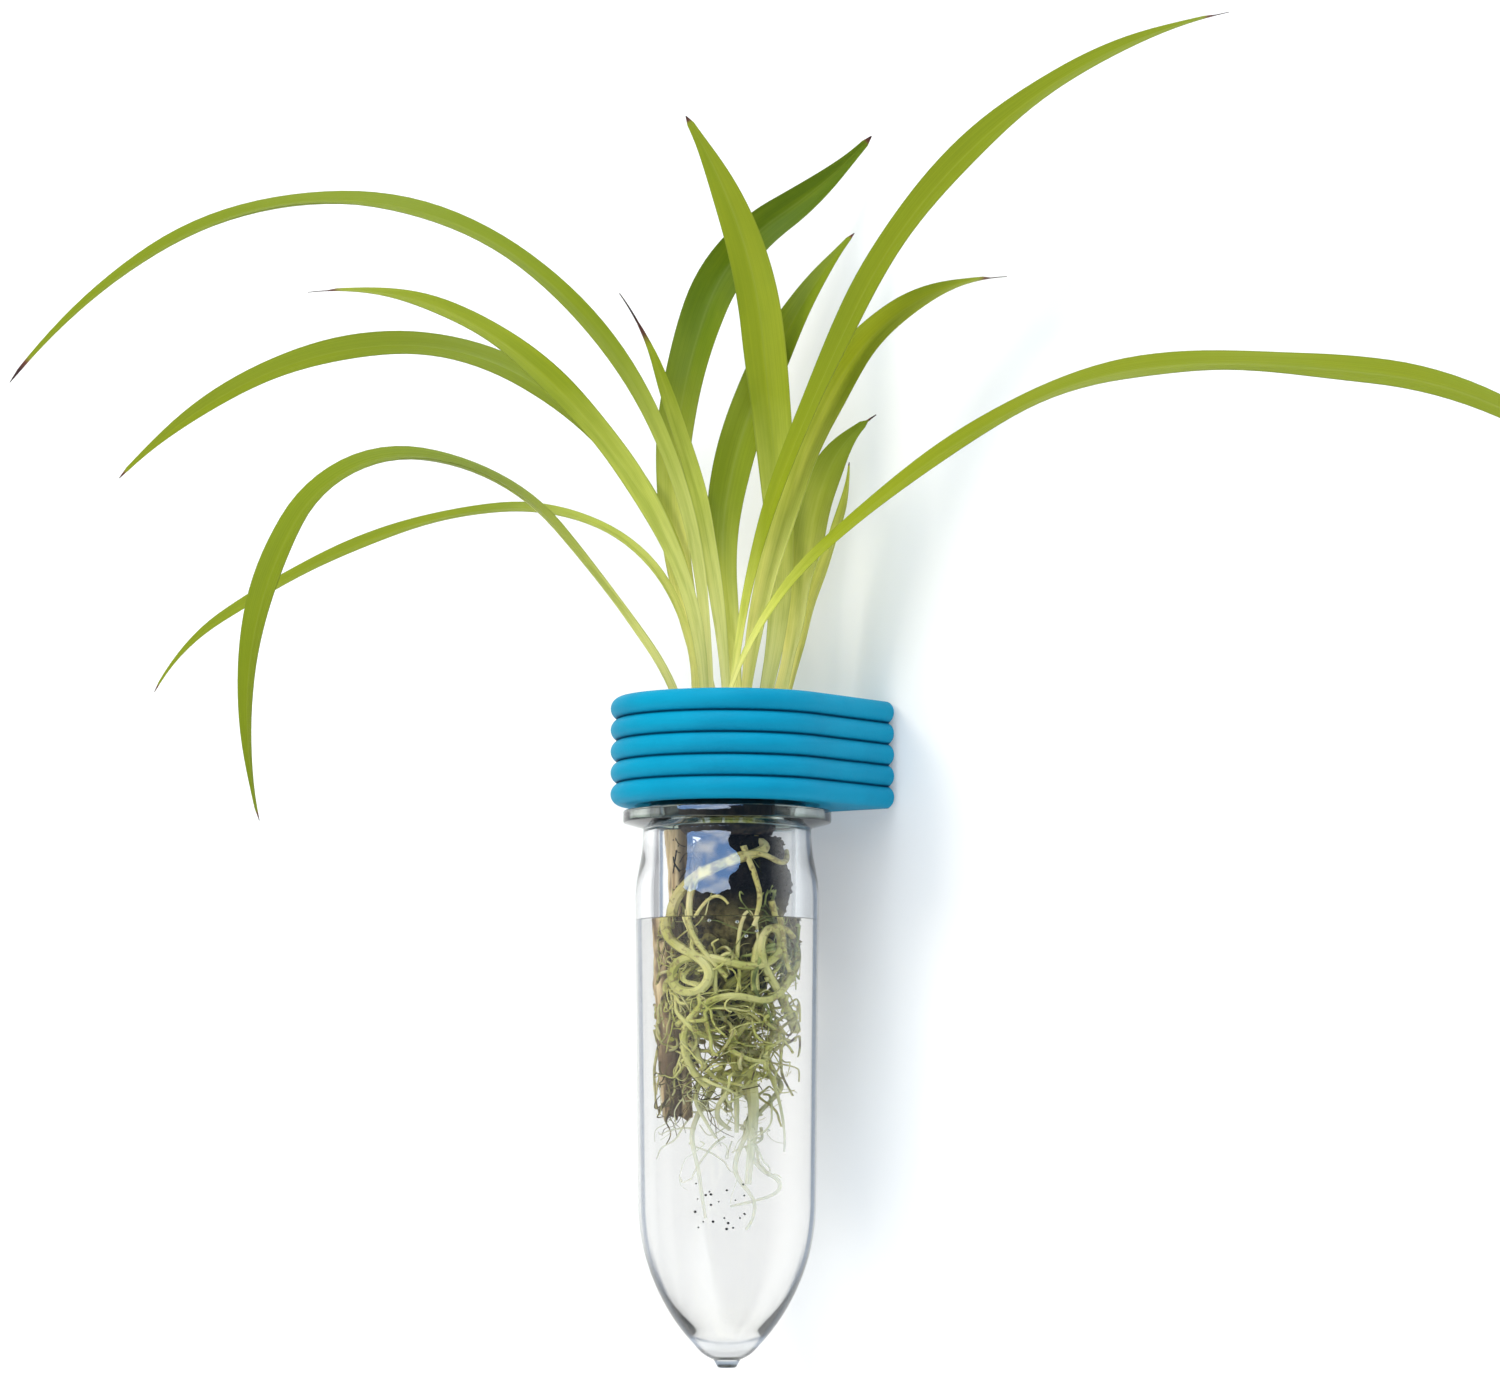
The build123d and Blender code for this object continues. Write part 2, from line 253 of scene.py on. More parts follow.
def lay_stops(elements, stops):
    """Sets a colour ramp's stops."""
    while len(elements) < len(stops):
        elements.new(1)
    for element, (place, colour) in zip(elements, stops):
        element.position = place
        element.color = colour


def srgb(red, green, blue):
    """Colour written as on a screen, from 0 to 255, as the linear colour that nodes take."""
    parts = [part / 255 for part in (red, green, blue)]
    return tuple(p / 12.92 if p <= 0.04045 else ((p + 0.055) / 1.055) ** 2.4 for p in parts) + (1.0,)


def paint(name, recipe):
    """A material whose recipe lays its nodes on a desk and gives back the shader. None of them is a lamp."""
    material = bpy.data.materials.new(name)
    material.use_nodes = True
    material.cycles.emission_sampling = "NONE"
    material.node_tree.nodes.clear()
    desk = Desk(material.node_tree)
    desk.node("ShaderNodeOutputMaterial", {}, {"Surface": recipe(desk)})
    print("material", name, "with", len(material.node_tree.nodes), "nodes")
    return material


# %% [markdown]
# ## Wall, floor and light
# The object hangs on a white wall, so a wall stands behind it and takes its shadow, over a plain pale floor
# that turns white far out. The wall is clear from behind, and has a hole behind the collar's back, so that the
# back of the object is lit and can be looked at. A big cool window in front is what the tube's neck mirrors.
# Warm daylight comes from the left, so the shadow to the right of the collar is bluish, and a cool lamp from
# above leaves warm shadows under the leaves. The clear tube needs something to mirror and to bend: for rays
# that met it, the wall darkens far to the side, the room is dim, and a piece of sky stands behind the eye, cut
# to the shape of the panes that the neck mirrors. Neither the room nor a glowing face is sampled as a lamp,
# because they are faint and the four lamps do the lighting.

# %% Wall and floor
FLOOR_Z = -320
WALL_HALF = 900
WALL_GAP = 0.1
WALL_WHITE = (0.93, 0.93, 0.93, 1)
WALL_LIFT = 0.2
WALL_SLATE = srgb(74, 88, 108)

# Where these come in, in metres from the collar: slate to the right and left, white floor, edges of the hole
SLATE_RIGHT = (0.035, 0.11)
SLATE_LEFT = (0.06, 0.3)
FAR_FLOOR = (0.2, 0.6)
HOLE_SIDES = (0.0152, 0.0148)
HOLE_ENDS = (0.0072, 0.0068)


def wall_paint(desk):
    path = desk.node("ShaderNodeLightPath", output="Is Camera Ray")
    bent = desk.rays("Glossy", "Transmission")
    beside = desk.part(desk.place(), "X")
    aside = beside.step(*SLATE_RIGHT) * 0.95 + (beside * -1).step(*SLATE_LEFT) * 0.5
    matte = desk.node("ShaderNodeBsdfDiffuse", {}, {"Color": WALL_WHITE})
    white = desk.node("ShaderNodeEmission")
    slate = desk.node("ShaderNodeEmission", {}, {"Color": WALL_SLATE})
    far = abs(beside.other("Y")).step(*FAR_FLOOR)
    lift = (path + bent) * WALL_LIFT + path * far * (1 - WALL_LIFT)
    near = desk.blend(lift, matte, white)
    front = desk.blend(aside * bent, near, slate)
    hole = abs(beside).step(*HOLE_SIDES) * abs(beside.other("Z")).step(*HOLE_ENDS)
    behind = hole.maths("MAXIMUM", hole, desk.node("ShaderNodeNewGeometry", output="Backfacing"))
    clear = desk.clear()
    return desk.blend(behind, front, clear)


def stage_plane(name, corners, material):
    """A flat face that is not part of the object."""
    mesh = bpy.data.meshes.new(name)
    mesh.from_pydata([Vector(corner) * MM for corner in corners], [], [tuple(range(len(corners)))])
    mesh.materials.append(material)
    plane = bpy.data.objects.new(name, mesh)
    scene.collection.objects.link(plane)
    return plane


white_wall = paint("white_wall", wall_paint)
wall_corners = [(-1, FLOOR_Z), (1, FLOOR_Z), (1, WALL_HALF), (-1, WALL_HALF)]
wall = stage_plane("wall", [(side * WALL_HALF, WALL_GAP, height) for side, height in wall_corners], white_wall)
wall.visible_shadow = False
floor_corners = [(-1, -2), (1, -2), (1, 2), (-1, 2)]
stage_plane("floor", [(x * WALL_HALF, y * WALL_HALF, FLOOR_Z) for x, y in floor_corners], white_wall)

# %% Lamps
LIT_BRIGHT = (0.92, 0.95, 1.0, 1)
LIT_DIM = (0.2, 0.28, 0.4, 1)
MIRROR_BRIGHT = (0.8, 0.82, 0.85, 1)
MIRROR_DIM = (0.1, 0.15, 0.23, 1)
ROOM_STRENGTH = 0.55


def in_room(turn, rise, distance):
    """Point in the room, by its turn to the right and its rise as seen from the tube."""
    turn, rise = math.radians(turn), math.radians(rise)
    level = NEAR * math.cos(turn) + RIGHT * math.sin(turn)
    return AXIS + (level * math.cos(rise) + UP * math.sin(rise)) * distance


def window_lamp(name, turn, rise, distance, wide, high, watts, colour, mirrored=False):
    """Soft rectangular lamp that looks at the tube."""
    place = in_room(turn, rise, distance)
    data = bpy.data.lights.new(name, "AREA")
    data.shape = "RECTANGLE"
    data.size = wide * MM
    data.size_y = high * MM
    data.energy = watts
    data.color = colour
    lamp = bpy.data.objects.new(name, data)
    lamp.location = place * MM
    lamp.rotation_euler = (AXIS - place).to_track_quat("-Z", "Y").to_euler()
    lamp.visible_glossy = mirrored
    lamp.visible_transmission = False
    scene.collection.objects.link(lamp)
    print("lamp", name, watts, "W")


window_lamp("window", -22, 34, 950, 900, 820, 3.8, (0.84, 0.94, 1.0), mirrored=True)
window_lamp("daylight", -62, 28, 1100, 380, 380, 6.4, (1.0, 0.92, 0.8))
window_lamp("skylight", -8, 68, 1000, 300, 300, 3.6, (0.8, 0.91, 1.0), mirrored=True)
window_lamp("fill", 60, 8, 1100, 600, 800, 1.3, (0.66, 0.87, 1.0))

# %% Room, and the sky that the neck mirrors
SKY_DISTANCE = 950
SKY_STRENGTH = 12
SKY_CORNERS = [
    (-56, 7), (-48, 5), (-40, 6.5), (-31, 4.5), (-22, 5.5), (-12, 4), (-3, 6), (5, 7), (1, 12),
    (4, 17), (12, 20), (19, 25), (16, 40), (-20, 44), (-56, 41),
]


def mirrored_sky(desk):
    sharp = desk.node("ShaderNodeLightPath", output="Is Singular Ray")
    clouds = desk.grain(desk.stretched(desk.place(), 2, 2, 6), 1, 4)
    blue = desk.mix(clouds.step(0.4, 0.72), srgb(120, 160, 216), srgb(232, 238, 246))
    light = desk.node("ShaderNodeEmission", {}, {"Color": blue, "Strength": SKY_STRENGTH})
    clear = desk.clear()
    return desk.blend(sharp, clear, light)


sky_corners = [in_room(turn, rise, SKY_DISTANCE) for turn, rise in SKY_CORNERS]
sky = stage_plane("sky", sky_corners, paint("mirrored_sky", mirrored_sky))
sky.visible_camera = False
sky.visible_diffuse = False
sky.visible_shadow = False
sky.visible_transmission = False
world = bpy.data.worlds.new("room")
world.use_nodes = True
world.node_tree.nodes.clear()
room = Desk(world.node_tree)
facing = room.node("ShaderNodeTexCoord", output="Generated")
leftness = room.dot(facing, -RIGHT)
path = room.node("ShaderNodeLightPath", output="Is Camera Ray")
lit = room.mix(leftness.step(-0.9, 0.7), LIT_DIM, LIT_BRIGHT)
mirrored = room.mix(leftness.step(0.1, 0.9), MIRROR_DIM, MIRROR_BRIGHT)
met_tube = room.rays("Glossy", "Transmission")
room_colour = room.mix(path, room.mix(met_tube, lit, mirrored), (2, 2, 2, 1))
room_light = room.node("ShaderNodeBackground", {}, {"Color": room_colour, "Strength": ROOM_STRENGTH})
room.node("ShaderNodeOutputWorld", {}, {"Surface": room_light})
world.cycles.sampling_method = "NONE"
scene.world = world

# %% [markdown]
# ## From points to pieces
# Every piece ends as a plain mesh with its place in its points, riding on a CAD body. `bare_mesh` turns
# millimetre points into a mesh whose faces point outwards, `grown` runs a Geometry Nodes tree on such a mesh
# and keeps the result, and `keep` gives the piece its finish, its body and the CAD nodes that it stands for.


# %% Mesh helpers
def bare_mesh(name, points, faces):
    """Mesh from points in millimetres, with its faces turned outwards."""
    mesh = bpy.data.meshes.new(name)
    mesh.from_pydata([tuple(Vector(point) * MM) for point in points], [], faces)
    work = bmesh.new()
    work.from_mesh(mesh)
    bmesh.ops.recalc_face_normals(work, faces=work.faces)
    work.to_mesh(mesh)
    work.free()
    return mesh


def evaluated(holder):
    """What an object's modifiers make of its mesh, as a plain mesh, with the object taken away."""
    depsgraph = bpy.context.evaluated_depsgraph_get()
    mesh = bpy.data.meshes.new_from_object(holder.evaluated_get(depsgraph))
    holder.modifiers.clear()
    bpy.data.objects.remove(holder)
    return mesh


def held(name, data):
    """An object in the scene that holds a mesh or a curve."""
    holder = bpy.data.objects.new(name, data)
    scene.collection.objects.link(holder)
    return holder


def grown(name, start, inputs, recipe, material):
    """Plain mesh that a Geometry Nodes tree makes from a start mesh and named inputs."""
    tree = bpy.data.node_groups.new(name, "GeometryNodeTree")
    tree.interface.new_socket("Geometry", in_out="INPUT", socket_type="NodeSocketGeometry")
    for label, value in inputs.items():
        kind = "NodeSocketInt" if isinstance(value, int) else "NodeSocketFloat"
        tree.interface.new_socket(label, in_out="INPUT", socket_type=kind)
    tree.interface.new_socket("Geometry", in_out="OUTPUT", socket_type="NodeSocketGeometry")
    desk = Desk(tree)
    shape = recipe(desk, desk.node("NodeGroupInput", output="Geometry"))
    whole = desk.node("GeometryNodeRealizeInstances", {}, {"Geometry": shape})
    finished = desk.node("GeometryNodeSetMaterial", {}, {"Geometry": whole, "Material": material})
    desk.node("NodeGroupOutput", {}, {"Geometry": finished})
    holder = held(name, start)
    grower = holder.modifiers.new(name, "NODES")
    grower.node_group = tree
    for item in tree.interface.items_tree:
        if item.in_out == "INPUT" and item.name in inputs:
            grower[item.identifier] = inputs[item.name]
    return evaluated(holder)


def keep(name, mesh, material, body, slot, *nodes, crease=40):
    """A finished piece on its body, which stands for the named CAD nodes."""
    mesh.name = name
    mesh.materials.clear()
    mesh.materials.append(material)
    mesh.shade_smooth()
    mesh.set_sharp_from_angle(angle=math.radians(crease))
    piece = held(name, mesh)
    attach(piece, body)
    if nodes:
        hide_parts(*nodes)
    print("piece", name, "on", body, "with", len(mesh.polygons), "faces")
    return piece

# %% [markdown]
# ## The ribbed collar
# The collar is one soft moulding: a D-shaped block, round in front and flat on the wall, with five round ribs
# that run out round the corners at its back. The ribs follow a rule, so the block is laid out as plain rings
# and a Geometry Nodes tree swells its outer wall: across each pitch the swell is the arc of a bead. One closed
# skin comes out of it, with sharp grooves where two ribs meet, which separate swept beads would not give.

# %% The block and the way its wall swells
RIB_COUNT = 5
RIB_DEPTH = 1.2
RIB_ROWS = 14
COLLAR_BORE = 14.1
COLLAR_LIP = 0.6
CORNER = 1.8
RIB_PITCH = (collar_high.z - collar_low.z) / RIB_COUNT
GROOVE_RADIUS = (collar_high.x - collar_low.x) / 2 - RIB_DEPTH
BEAD_RADIUS = (RIB_DEPTH**2 + (RIB_PITCH / 2) ** 2) / (2 * RIB_DEPTH)


def arc_points(centre, radius, start, stop, steps):
    """Points of an arc in a plane, from a start to a stop angle in degrees."""
    turns = np.radians(np.linspace(start, stop, steps + 1))
    return [(centre[0] + radius * math.cos(t), centre[1] + radius * math.sin(t)) for t in turns]


def collar_outline():
    """The D-shaped groove line seen from above, from the tube's axis, with the swell's direction at each point."""
    back = collar_high.y - AXIS.y
    inset = GROOVE_RADIUS - CORNER
    line = [(spot, Vector((*spot, 0)).normalized()) for spot in arc_points((0, 0), GROOVE_RADIUS, 180, 360, 96)]
    for share in np.linspace(0, 1, 12, endpoint=False)[1:]:
        line.append(((GROOVE_RADIUS, (back - CORNER) * share), Vector((1, 0, 0))))
    for spot in arc_points((inset, back - CORNER), CORNER, 0, 90, 10):
        way = Vector((spot[0] - inset, spot[1] - back + CORNER, 0)) / CORNER
        line.append((spot, way * max(way.x, 0) ** 3))
    for share in np.linspace(1, 0, 14)[1:]:
        line.append(((inset * share, back), Vector((0, 0, 0))))
    left = [((-spot[0], spot[1]), Vector((-way.x, way.y, 0))) for spot, way in reversed(line[97:-1])]
    return line + left


outline = collar_outline()
rib_heights = [
    collar_low.z + RIB_PITCH * (rib + (1 - math.cos(math.pi * row / RIB_ROWS)) / 2)
    for rib in range(RIB_COUNT)
    for row in range(RIB_ROWS)
] + [collar_high.z]
bore_rings = [
    (COLLAR_BORE + COLLAR_LIP, collar_low.z),
    (COLLAR_BORE, collar_low.z + COLLAR_LIP),
    (COLLAR_BORE, collar_high.z - COLLAR_LIP),
    (COLLAR_BORE + COLLAR_LIP, collar_high.z),
]
collar_points = []
collar_ways = []
for radius, height in bore_rings:
    for spot, way in outline:
        toward = Vector((*spot, 0)).normalized()
        collar_points.append(AXIS + toward * radius + UP * height)
        collar_ways.append((0, 0, 0))
for height in reversed(rib_heights):
    for spot, way in outline:
        collar_points.append(AXIS + Vector((*spot, height)))
        collar_ways.append(tuple(way))


def ring_faces(rings, size):
    """Quads between neighbouring rings, and from the last ring back to the first."""
    return [
        (ring * size + k, ring * size + (k + 1) % size, after * size + (k + 1) % size, after * size + k)
        for ring, after in ((r, (r + 1) % rings) for r in range(rings))
        for k in range(size)
    ]


def capped(rings, size):
    """Faces of a stack of rings that is closed by a flat face at each end."""
    last = (rings - 1) * size
    return ring_faces(rings, size)[:-size] + [tuple(range(size)), tuple(range(last, last + size))]


block = bare_mesh("collar", collar_points, ring_faces(len(bore_rings) + len(rib_heights), len(outline)))
block.attributes.new("outward", "FLOAT_VECTOR", "POINT").data.foreach_set("vector", np.ravel(collar_ways))
print("collar block", len(block.vertices), "points, bead radius", round(BEAD_RADIUS, 3), "mm")

# %% [markdown]
# The collar looks like matte silicone rubber: one strong blue, a soft broad sheen, and the faint cloudiness and fine
# tooth of a moulded skin. Two scales of noise give the cloudiness and the tooth, and a painted shade darkens a thin
# line in each groove.


# %% Blue rubber and the rib rule
def blue_rubber(desk):
    place = desk.place()
    cloud = desk.grain(place, 90, 3)
    tooth = desk.grain(place, 2600, 2)
    height = desk.part(place, "Z")
    ribs_up = (height - collar_low.z * MM) / (RIB_PITCH * MM)
    off_groove = 0.5 - abs(ribs_up.maths("FRACT", ribs_up) - 0.5)
    inside = abs(ribs_up - RIB_COUNT / 2).step(RIB_COUNT / 2 - 0.4, RIB_COUNT / 2 - 0.6)
    colour = desk.mix(cloud.step(0.3, 0.7), srgb(0, 136, 172), srgb(0, 144, 180))
    # Painted shade: a thin dark line in each groove between two ribs, but not at the top and bottom edges.
    shaded = desk.mix(off_groove.step(0.1, 0.02) * inside * 0.85, colour, srgb(0, 74, 110))
    return desk.surface({
        "Base Color": shaded,
        "Roughness": 0.5 + 0.12 * tooth,
        "Normal": desk.bump(tooth + cloud * 0.6, 0.16, 0.0002),
        "Specular IOR Level": 0.12,
    })


def rib_rule(desk, entry):
    outward = desk.node("GeometryNodeInputNamedAttribute", {"data_type": "FLOAT_VECTOR"}, {"Name": "outward"})
    height = desk.part(desk.node("GeometryNodeInputPosition"), "Z")
    pitch, bead = entry.other("Rib pitch"), entry.other("Bead radius")
    ribs_up = (height - entry.other("Lowest groove")) / pitch
    off_middle = abs(ribs_up.maths("FRACT", ribs_up) - 0.5) * pitch
    swell = (bead * bead - off_middle * off_middle) ** 0.5 - (bead - entry.other("Rib depth"))
    offset = desk.node("ShaderNodeVectorMath", {"operation": "SCALE"}, {0: outward, "Scale": swell})
    return desk.node("GeometryNodeSetPosition", {}, {"Geometry": entry, "Offset": offset})


rubber = paint("collar_blue", blue_rubber)
rib_sizes = {
    "Rib pitch": RIB_PITCH * MM,
    "Rib depth": RIB_DEPTH * MM,
    "Bead radius": BEAD_RADIUS * MM,
    "Lowest groove": collar_low.z * MM,
}
ribbed = grown("collar_ribs", block, rib_sizes, rib_rule, rubber)
ribbed.attributes.remove(ribbed.attributes["outward"])

# %% [markdown]
# The back holds a thin anti-slip pad over two disc magnets. Both stay CAD nodes, so their pockets are cut out of
# the ribbed block with Boolean modifiers, a little larger than the nodes' own boxes.

# %% Pockets in the collar's back
POCKET_PLAY = 0.1
PAD_CORNER = 2.5
PAST_BACK = 2
pad_low, pad_high = box_mm("grip_pad")


def pocket(name, rim, front, back):
    """Closed cutter with a rim in the wall's plane, from a front to a back depth."""
    size = len(rim)
    points = [Vector((x, depth, z)) for depth in (front, back) for x, z in rim]
    faces = [(k, (k + 1) % size, size + (k + 1) % size, size + k) for k in range(size)]
    return held(name, bare_mesh(name, points, faces + [tuple(range(size)), tuple(range(size, 2 * size))]))


def rounded_rim(half_wide, half_high, corner, steps=6):
    """Rectangle with round corners about the collar's middle."""
    rim = []
    for quarter, (sx, sz) in enumerate([(1, 1), (-1, 1), (-1, -1), (1, -1)]):
        centre = (sx * (half_wide - corner), sz * (half_high - corner))
        rim += arc_points(centre, corner, 90 * quarter, 90 * quarter + 90, steps)
    return rim


pad_rim = rounded_rim(pad_high.x + POCKET_PLAY, pad_high.z + POCKET_PLAY, PAD_CORNER)
cutters = [pocket("pad_pocket", pad_rim, pad_low.y, PAST_BACK)]
for magnet in ("magnet_left", "magnet_right"):
    low, high = box_mm(magnet)
    middle = ((low.x + high.x) / 2, (low.z + high.z) / 2)
    rim = arc_points(middle, (high.x - low.x) / 2 + POCKET_PLAY, 0, 352.5, 47)
    cutters.append(pocket(magnet + "_pocket", rim, low.y - POCKET_PLAY, pad_low.y + POCKET_PLAY))
carved = held("carved", ribbed)
for cutter in cutters:
    cut = carved.modifiers.new(cutter.name, "BOOLEAN")
    cut.operation = "DIFFERENCE"
    cut.object = cutter
collar_mesh = evaluated(carved)
for cutter in cutters:
    bpy.data.objects.remove(cutter)
keep("collar_ribbed", collar_mesh, rubber, "collar", "collar_blue", "collar")

# %% [markdown]
# ## Pad and magnets
# These keep their CAD shapes. The pad is grey foam rubber with a fine open grain and the magnets are bright
# nickel with faint turning marks.


# %% Finishes of the CAD nodes
def grey_foam(desk):
    place = desk.place()
    cells = desk.grain(place, 1800, 3)
    colour = desk.mix(cells.step(0.35, 0.65), srgb(70, 72, 75), srgb(98, 100, 103))
    return desk.surface({"Base Color": colour, "Roughness": 0.8, "Normal": desk.bump(cells, 0.4, 0.0003)})


def nickel(desk):
    marks = desk.grain(desk.stretched(desk.place(), 3000, 60, 3000), 1, 2)
    colour = desk.mix(marks, srgb(190, 186, 178), srgb(222, 219, 212))
    return desk.surface({"Base Color": colour, "Metallic": 1.0, "Roughness": 0.22 + 0.16 * marks})


def repaint(material, *nodes):
    """Gives CAD nodes that stay a new finish."""
    for node in nodes:
        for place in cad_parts[node].material_slots:
            place.material = material


repaint(paint("pad_grey", grey_foam), "grip_pad")
repaint(paint("magnet_nickel", nickel), "magnet_left", "magnet_right")

# %% [markdown]
# ## The clear tube
# The tube is a moulded preform of clear plastic: a threaded bottle neck, a support ring, a thick wall that
# flares and tapers slowly, and a pointed dome with a moulding nub. It is one profile turned round the axis,
# inside and outside together, because light has to cross a single closed wall. The thread is a height laid
# on the neck's own rows of points, so it stays part of that one wall.

# %% Sizes of the tube and its profile
NECK_TOP = tube_high.z
NUB_BOTTOM = tube_low.z
RING_RADIUS = (tube_high.x - tube_low.x) / 2
RING_GAP = 0.9
RING_TOP = collar_low.z - RING_GAP
BORE_RADIUS = 10.87
NECK_RADIUS = 12.47
THREAD_RADIUS = 13.71
THREAD_PITCH = 3.18
THREAD_TURNS = 1.75
THREAD_TOP_GAP = 2.6
THREAD_ROOT = 2.2
THREAD_CREST = 1.0
THREAD_RUN_OUT = 0.1
BEAD = {"radius": 14.0, "height": 2.2, "slope": 0.9, "gap": 1.6}
RING_EDGE = 1.9
RING_SLOPE = 0.9
SHOULDER_RADIUS = 13.3
BODY_RADIUS = 14.5
FOOT_RADIUS = 14.0
FLARE_LENGTH = 12.0
TAPER_LENGTH = 46.4
DOME_RADIUS = 33.0
NOSE_RADIUS = 6.2
INNER_FOOT_RADIUS = 10.3
INNER_CAP_RADIUS = 7.0
FLOOR_THICKNESS = 3.4
NUB_RADIUS = 2.1
NUB_TIP_RADIUS = 1.4
EDGE_SOFTNESS = 0.3
TUBE_SEGMENTS = 160
PLASTIC_IOR = 1.57

shoulder_z = RING_TOP - RING_EDGE - RING_SLOPE
flare_z = shoulder_z - FLARE_LENGTH
dome_z = flare_z - TAPER_LENGTH
dome_middle = (FOOT_RADIUS - DOME_RADIUS, dome_z)
nose_z = dome_z - math.sqrt((DOME_RADIUS - NOSE_RADIUS) ** 2 - dome_middle[0] ** 2)
nose_turn = math.degrees(math.atan2(dome_z - nose_z, -dome_middle[0]))
floor_z = nose_z - NOSE_RADIUS + FLOOR_THICKNESS
nub_z = nose_z - math.sqrt(NOSE_RADIUS**2 - NUB_RADIUS**2)


def softened(corners, softness, steps=4):
    """A line through corners whose inner corners are rounded off."""
    line = [corners[0]]
    for before, corner, after in zip(corners, corners[1:], corners[2:]):
        corner = Vector(corner)
        ends = []
        for neighbour in (Vector(before), Vector(after)):
            run = neighbour - corner
            ends.append(corner + run * min(softness / run.length, 0.45))
        for share in np.linspace(0, 1, steps + 1):
            bend = ends[0] * (1 - share) ** 2 + corner * 2 * share * (1 - share) + ends[1] * share**2
            line.append(tuple(bend))
    return line + [corners[-1]]


def spread(start, stop, steps):
    """Evenly spaced points between two, without the ends."""
    return [tuple(Vector(start).lerp(Vector(stop), k / steps)) for k in range(1, steps)]


def flare(share):
    """Point of the shoulder's S-curve, at a share of the way down."""
    swing = share * share * (3 - 2 * share)
    drop = 1.5 * share * (1 - share) + share**3
    return SHOULDER_RADIUS + (BODY_RADIUS - SHOULDER_RADIUS) * swing, shoulder_z - FLARE_LENGTH * drop


def inner_wall(offset=0.0):
    """Inside of the tube from its lowest point to the foot of the neck, moved outwards by an offset."""
    foot, cap = INNER_FOOT_RADIUS + offset, INNER_CAP_RADIUS + offset
    drop = dome_z - floor_z + offset - cap
    back = (drop * drop - (foot - cap) ** 2) / (2 * (foot - cap))
    turn = math.degrees(math.atan2(drop, back))
    line = arc_points((0, dome_z - drop), cap, -90, -turn, 14)
    line[0] = (0, line[0][1])
    line += arc_points((-back, dome_z), foot + back, -turn, 0, 20)[1:]
    top = (BORE_RADIUS + offset, flare_z)
    return line + spread(line[-1], top, 10) + [top]


bead_low = RING_TOP + BEAD["gap"]
bead_top = bead_low + BEAD["height"]
lip = softened([(BORE_RADIUS, NECK_TOP - 1), (BORE_RADIUS, NECK_TOP), (NECK_RADIUS, NECK_TOP),
                (NECK_RADIUS, NECK_TOP - 1)], 0.4)
neck = spread((NECK_RADIUS, NECK_TOP - 1), (NECK_RADIUS, bead_top + 0.2), 52)
collars = softened([
    (NECK_RADIUS, bead_top + 0.2), (NECK_RADIUS, bead_top), (BEAD["radius"], bead_top - BEAD["slope"]),
    (BEAD["radius"], bead_low), (NECK_RADIUS, bead_low), (NECK_RADIUS, RING_TOP), (RING_RADIUS, RING_TOP),
    (RING_RADIUS, RING_TOP - RING_EDGE), (SHOULDER_RADIUS, shoulder_z), flare(0.08),
], EDGE_SOFTNESS)
flank = [flare(share) for share in np.linspace(0.08, 1, 24)[1:]]
flank += spread(flank[-1], (FOOT_RADIUS, dome_z), 14)
dome = arc_points(dome_middle, DOME_RADIUS, 0, -nose_turn, 24)
nub_turn = math.degrees(math.acos(NUB_RADIUS / NOSE_RADIUS))
nose = arc_points((0, nose_z), NOSE_RADIUS, -nose_turn, -nub_turn, 8)[1:]
nub = softened([nose[-1], (NUB_TIP_RADIUS, NUB_BOTTOM), (0, NUB_BOTTOM)], EDGE_SOFTNESS)[1:]
bore = spread((BORE_RADIUS, flare_z), (BORE_RADIUS, NECK_TOP - 1), 12)
tube_profile = inner_wall() + bore + lip + neck + collars + flank + dome + nose + nub
print("tube profile", len(tube_profile), "points, inner floor at", round(tube_profile[0][1], 1), "mm")


# %% Turning the tube, with its thread
def turned(profile, segments, lift=None):
    """Points and faces of a profile turned round the tube's axis, with poles where it meets the axis."""
    points, rows = [], []
    for radius, height in profile:
        if radius < 1e-6:
            rows.append([len(points)] * segments)
            points.append(AXIS + UP * height)
            continue
        rows.append(list(range(len(points), len(points) + segments)))
        for step in range(segments):
            angle = 360 * step / segments
            reach = radius + (lift(angle, radius, height) if lift else 0)
            points.append(around(reach, angle, height))
    faces = []
    for low, high in zip(rows, rows[1:]):
        for step in range(segments):
            after = (step + 1) % segments
            corners = (low[step], low[after], high[after], high[step])
            faces.append(tuple(dict.fromkeys(corners)))
    return points, faces


def thread_lift(angle, radius, height):
    """How far the screw thread stands out of the neck at a place on it."""
    if abs(radius - NECK_RADIUS) > 1e-4 or not bead_top < height < NECK_TOP - 1:
        return 0
    lift = 0
    start = NECK_TOP - THREAD_TOP_GAP - THREAD_TURNS * THREAD_PITCH
    for lap in range(math.ceil(THREAD_TURNS)):
        turns = lap + angle / 360
        if turns <= THREAD_TURNS:
            off_crest = abs(height - start - turns * THREAD_PITCH)
            ridge = (THREAD_ROOT / 2 - off_crest) / ((THREAD_ROOT - THREAD_CREST) / 2)
            run_out = min(1, turns / THREAD_RUN_OUT, (THREAD_TURNS - turns) / THREAD_RUN_OUT)
            lift = max(lift, min(max(ridge, 0), 1) * run_out)
    return lift * (THREAD_RADIUS - NECK_RADIUS)
